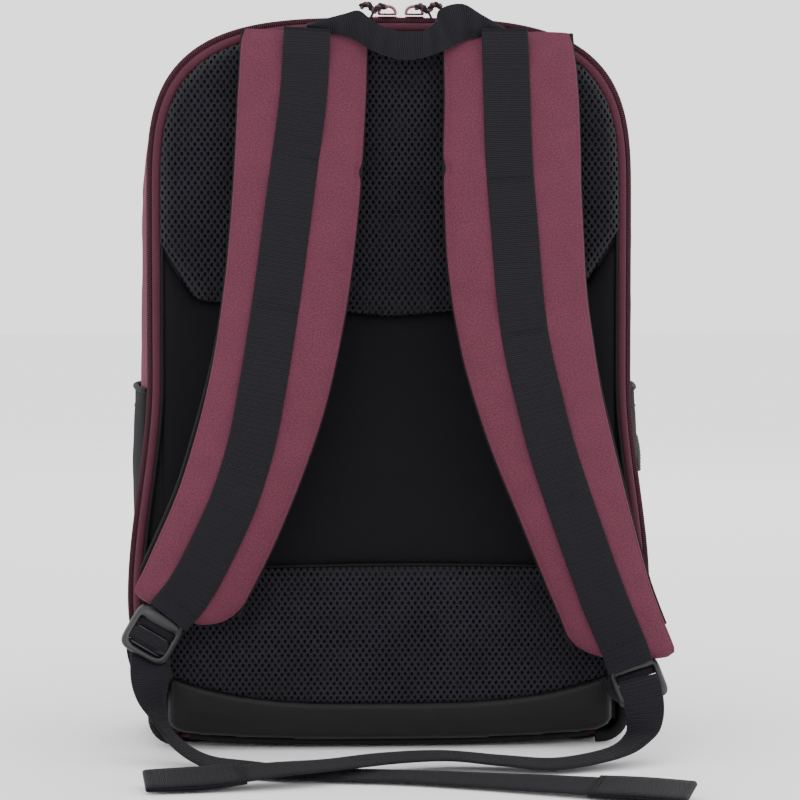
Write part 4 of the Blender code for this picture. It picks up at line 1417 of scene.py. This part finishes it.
def make_side_pocket(side):
    """A flat stretch pocket with a bound, slightly slack mouth."""
    sign = -1 if side == "left" else 1
    shape = (SIDE_ROWS, SIDE_COLUMNS)
    heights = np.linspace(0.024, 0.226, SIDE_ROWS)
    bulge = by_height(heights, [(0.226, 0.0088), (0.160, 0.0104), (0.115, 0.0106), (0.080, 0.0080),
                                (0.024, 0.0060)])
    ys = np.linspace(0.0, 1.0, SIDE_COLUMNS)
    rise = np.sin(math.pi * ys) ** 0.55
    grid_y = -0.052 + 0.078 * ys
    back = HALF_WIDTH + 0.0003
    sag = 0.0016 * wobble(np.array([(y * 14, z * 14, 0.0) for z in heights for y in grid_y]), 1.0, 51)
    out = 0.0012 + 0.0052 * ys**2 + (bulge[:, None] - 0.0012 + sag.reshape(shape)) * rise
    outer = np.stack([sign * (back + out), np.broadcast_to(grid_y, shape),
                      np.broadcast_to(heights[:, None], shape)], -1)
    inner = outer - [sign * 0.0011, 0, 0]
    inner[..., 0] = sign * np.maximum(np.abs(inner[..., 0]), back + 0.0001)
    points = np.concatenate([outer.reshape(-1, 3), inner.reshape(-1, 3)])
    cloth = make_mesh(side + "_pocket_cloth", points, side_faces(), "black_fabric")
    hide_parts(side + "_side_pocket")
    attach(cloth, "pack")
    piped(side + "_pocket_binding", outer[-1] - [sign * 0.0004, 0, 0], 0.0019, 10, "black_binding", "pack")
    piped(side + "_pocket_seam", outer[0], 0.0011, 8, "black_binding", "pack")
    row = outer[-3] + [sign * 0.0002, 0, 0]
    sewn = stitches(side + "_pocket_stitches", row, (sign, 0, 0), "stitch_black", 0.0024, 0.0013, 0.0005)
    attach(sewn, "pack")


def make_base():
    """The tough base cloth under the bag."""
    low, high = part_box("base_panel")
    outline = rounded_rect(low.x, high.x, low.y, high.y, 0.016, 10)
    rings = []
    for inset, z in ((0.011, 0.0), (0.0088, 0.0006), (0.0080, 0.0018), (0.0084, 0.0034), (0.011, 0.0046)):
        rings += [(x * (1 - inset / 0.146), y * (1 - 1.6 * inset / 0.062), z) for x, y in outline]
    base = make_mesh("base_cloth", rings, capped_faces(5, len(outline)), "black_fabric")
    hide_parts("base_panel")
    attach(base, "pack")


FOOT_PIPE_Z = 0.0044


def make_foot_piping():
    """Piping along the foot of the back panel, and a thick binding round each lower corner."""
    right = [(x, SHELL_BACK - y, z) for x, y, z in ((0.127, 0.0050, 0.0078), (0.100, 0.0075, 0.0056),
                                                    (0.040, 0.0085, 0.0040))]
    rows = [(-x, y, z) for x, y, z in right] + right[::-1]
    piped("base_piping", smooth_route(rows, 10), 0.0023, 10, "black_binding", "back_panel")
    edge = HALF_WIDTH - 0.0022
    middle_x, middle_z = edge - FOOT_RADIUS, FOOT_PIPE_Z + FOOT_RADIUS
    turn = [(middle_x + FOOT_RADIUS * math.cos(a), middle_z - FOOT_RADIUS * math.sin(a))
            for a in np.radians(range(0, 91, 6))]
    foot = np.array([(edge, 0.055), (edge, 0.035)] + turn + [(0.132, FOOT_PIPE_Z)])
    for side, sign in (("left", -1), ("right", 1)):
        line = at_depth(foot * [sign, 1], SHELL_BACK + 0.0012)
        piped(side + "_foot_binding", resampled(line, 0.003), 0.0040, 12, "black_binding", "pack")


def make_inside():
    """The divider, organiser and base board with rounded edges, and the frame sheet's material."""
    for node in ("laptop_divider", "organiser_pocket"):
        copy_cad(node, node + "_cloth", "lining", 0.0016)
    copy_cad("base_board", "base_board_panel", "black_plastic", 0.0005)
    frame["nodes"]["frame_sheet"].data.materials[0] = MATERIALS["black_fabric"]


CORNER_ANGLE = math.radians(35)


def copy_cad(node, name, material, width):
    """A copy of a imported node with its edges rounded."""
    source = frame["nodes"][node]
    obj = bpy.data.objects.new(name, source.data.copy())
    obj.matrix_world = source.matrix_world.copy()
    bpy.context.scene.collection.objects.link(obj)
    obj.data.materials.clear()
    obj.data.materials.append(MATERIALS[material])
    weld = obj.modifiers.new("weld", "WELD")
    weld.merge_threshold = 0.00001
    edge = obj.modifiers.new("edge", "BEVEL")
    edge.width = width
    edge.segments = 3
    edge.limit_method = "ANGLE"
    edge.angle_limit = CORNER_ANGLE
    edge.use_clamp_overlap = True
    apply_modifiers(obj)
    obj.data.shade_smooth()
    obj.data.set_sharp_from_angle(angle=CORNER_ANGLE)
    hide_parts(node)
    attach(obj, body_of(node))


def body_of(node):
    """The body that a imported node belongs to."""
    groups = frame["record"]["behaviour"]["bodies"]
    return next(name for name, nodes in groups.items() if node in nodes)


make_shell()
make_front_pocket()
make_pocket_zip()
for pocket_side in ("left", "right"):
    make_side_pocket(pocket_side)
make_base()
make_foot_piping()
make_inside()


# ---------------------------------------------------------------- grab handle, sliders and pulls

def make_handle():
    """Wide webbing: a hanging bow in the middle, folded over a peak at each end."""
    upper = [(-0.0526, -0.0880, 0.4558), (-0.0410, -0.0885, 0.4590), (-0.0294, -0.0890, 0.4621),
             (-0.0204, -0.0900, 0.4640), (-0.0130, -0.0935, 0.4585), (-0.0050, -0.0985, 0.4535),
             (0.0073, -0.1020, 0.4503), (0.0182, -0.1000, 0.4508), (0.0272, -0.0950, 0.4571),
             (0.0305, -0.0905, 0.4653), (0.0440, -0.0890, 0.4684), (0.0569, -0.0880, 0.4615),
             (0.0704, -0.0880, 0.4540)]
    lower = [(-0.0526, -0.0885, 0.4533), (-0.0400, -0.0895, 0.4502), (-0.0307, -0.0905, 0.4490),
             (-0.0230, -0.0925, 0.4458), (-0.0166, -0.0960, 0.4414), (-0.0076, -0.1010, 0.4370),
             (0.0053, -0.1045, 0.4332), (0.0182, -0.1030, 0.4344), (0.0298, -0.0985, 0.4382),
             (0.0395, -0.0945, 0.4426), (0.0466, -0.0915, 0.4458), (0.0556, -0.0895, 0.4483),
             (0.0704, -0.0885, 0.4514)]
    rows, _ = even_route([(*a, *b) for a, b in zip(upper, lower)], 0.00035)
    top, low = rows[:, :3], rows[:, 3:]
    middle = (top + low) / 2
    along = tangents(middle)
    across = normalised(top - low)
    out = normalised(np.cross(across, along))
    out = out * np.where(out[:, 1:2] > 0, -1, 1)
    lengths = distances(middle)
    count, steps = len(rows), 21
    spread = np.linspace(0, 1, steps)
    bow = np.sin(math.pi * spread)
    ribs = 0.00016 * np.sin(math.tau * lengths / 0.00125)
    soft = wobble(middle, 60.0, 61)
    front = low[:, None] + (top - low)[:, None] * spread[None, :, None]
    curl = 0.0012 * bow[None] + ribs[:, None] + 0.0007 * soft[:, None] * (spread - 0.5)[None]
    front = front + out[:, None] * curl[..., None]
    back = front[:, ::-1] - out[:, None] * 0.0017
    points = np.concatenate([front, back], axis=1).reshape(-1, 3)
    u = np.concatenate([spread, spread[::-1]]) * 0.018
    uv = np.stack(np.broadcast_arrays(u[None], lengths[:, None]), -1).reshape(-1, 2)
    faces = capped_faces(count, steps * 2)
    handle = make_mesh("handle_webbing", points, faces, "black_webbing", uv, angle=60)
    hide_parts("grab_handle")
    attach(handle, "handle")


TWIST_PITCH = 0.0052


def slider_piece(node, name, along, up):
    """A zip slider: a flared body with a tall open bridge."""
    low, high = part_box(node)
    along, up = np.array(along, float), np.array(up, float)
    side = np.cross(along, up)
    centre = (np.array(low) + np.array(high)) / 2
    tall = abs(np.array(high - low) @ up)
    root = centre - up * tall / 2
    plates = []
    for level in (0.0006, 0.0026):
        points = []
        for t in np.linspace(-1, 1, 15):
            half = 0.0031 + 0.0009 * math.cos(math.pi * t) * (t < 0) + 0.0006 * (1 - t * t)
            for a in np.linspace(0, math.tau, 10, endpoint=False):
                points.append(root + along * (0.0058 * t) + side * half * math.cos(a)
                              + up * (level + 0.0007 * math.sin(a)))
        plates.append((points, capped_faces(15, 10)))
    bridge = [root + along * 0.0052 * math.cos(a) + up * (0.0026 + (tall - 0.0026) * math.sin(a) ** 0.75)
              for a in np.linspace(0, math.pi, 24)]
    plates.append(tube_data(bridge, 0.0010, 10))
    slider = joined_mesh(name, plates, "painted_metal")
    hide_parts(node)
    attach(slider, body_of(node))


def twisted_cord(name, points, radius, body, node, material="black_webbing"):
    """Two cords wound round each other, one of them burgundy."""
    line, at = even_route(points, 0.0005)
    _, side, out = frames(line, np.tile(TUBE_ACROSS, (len(line), 1)))
    strands = []
    for phase in (0.0, math.pi):
        angle = at / TWIST_PITCH * math.tau + phase
        turn = side * np.cos(angle)[:, None] + out * np.sin(angle)[:, None]
        strands.append(tube_data(line + turn * radius * 0.55, radius * 0.60, 8))
    first = joined_mesh(name + "_strand_0", strands[:1], material)
    second = joined_mesh(name + "_strand_1", strands[1:], "coil")
    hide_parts(node)
    for piece in (first, second):
        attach(piece, body)


def make_rear_pull(side):
    """A rear slider with its twisted cord and the cord's loose tail."""
    sign = -1 if side == "left" else 1
    node = "rear_slider_" + side
    low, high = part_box(node)
    slider_piece(node, f"rear_{side}_zip_slider", (1, 0, 0), (0, 0, 1))
    origin = np.array(((low.x + high.x) / 2, (low.y + high.y) / 2, high.z))
    cord = [(0.0005, -0.0006, -0.0010), (0.0045, -0.0012, 0.0002), (0.0085, -0.0020, -0.0030),
            (0.0120, -0.0028, 0.0010), (0.0170, -0.0040, -0.0005)]
    tail = [(0.0085, -0.0020, -0.0030), (0.0095, -0.0036, -0.0052), (0.0105, -0.0046, -0.0075)]
    mirror = [sign, 1, 1]
    twisted_cord(f"rear_{side}_pull", origin + np.array(cord) * mirror, 0.0018, f"rear_pull_{side[0]}",
                 f"rear_pull_{side}", "stitch_black")
    line = smooth_route(origin + np.array(tail) * mirror, 5)
    piped(f"rear_{side}_pull_tail", line, 0.0008, 8, "stitch_black", f"rear_pull_{side[0]}")


def make_pulls():
    """The sliders, their cords and the two moulded grips."""
    make_rear_pull("left")
    make_rear_pull("right")
    slider_piece("main_slider", "main_zip_slider", (0, 0, 1), (1, 0, 0))
    slider_piece("pocket_slider", "pocket_zip_slider", (1, 0, 0), (0, 1, 0))
    low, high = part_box("main_pull_cord")
    x, y = low.x, (low.y + high.y) / 2
    cord = [(x + 0.0011, y, high.z + 0.0045), (x + 0.0018, y, high.z - 0.004), (high.x - 0.0006, y, low.z)]
    twisted_cord("main_pull", cord, 0.0011, "main_pull", "main_pull_cord")
    grip_piece("main_pull_grip", "main_grip", "main_pull")
    grip_piece("pocket_pull", "pocket_grip", "pocket_pull_body")


def grip_piece(node, name, body):
    """A moulded pull: a tapered, ringed barrel from its highest point to its lowest."""
    low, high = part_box(node)
    x, y = (low.x + high.x) / 2, (low.y + high.y) / 2
    if node == "pocket_pull":
        start = np.array((x, low.y + 0.0022, high.z - 0.0022))
        end = np.array((x, high.y - 0.0022, low.z + 0.0020))
    else:
        start = np.array((low.x + 0.0026, y, high.z))
        end = np.array((high.x - 0.0026, y, low.z))
    spread = np.linspace(0, 1, 41)[:, None]
    line = start + (end - start) * spread
    _, side, out = frames(line, np.tile(TUBE_ACROSS, (len(line), 1)))
    radius = 0.0017 + 0.0009 * np.sin(math.pi * np.minimum(spread * 1.15, 1)) + 0.00018 * np.sin(spread * 60)
    radius = radius * np.sqrt(np.maximum(1 - np.maximum(0.0, (spread - 0.93) / 0.08) ** 2, 0.05))
    ring = circle(1.0, 14)
    points = line[:, None] + side[:, None] * (radius * 1.25 * ring[:, 0])[..., None] \
        + out[:, None] * (radius * 0.85 * ring[:, 1])[..., None]
    grip = make_mesh(name, points.reshape(-1, 3), capped_faces(len(line), len(ring)), "black_plastic")
    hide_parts(node)
    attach(grip, body)


make_handle()
make_pulls()
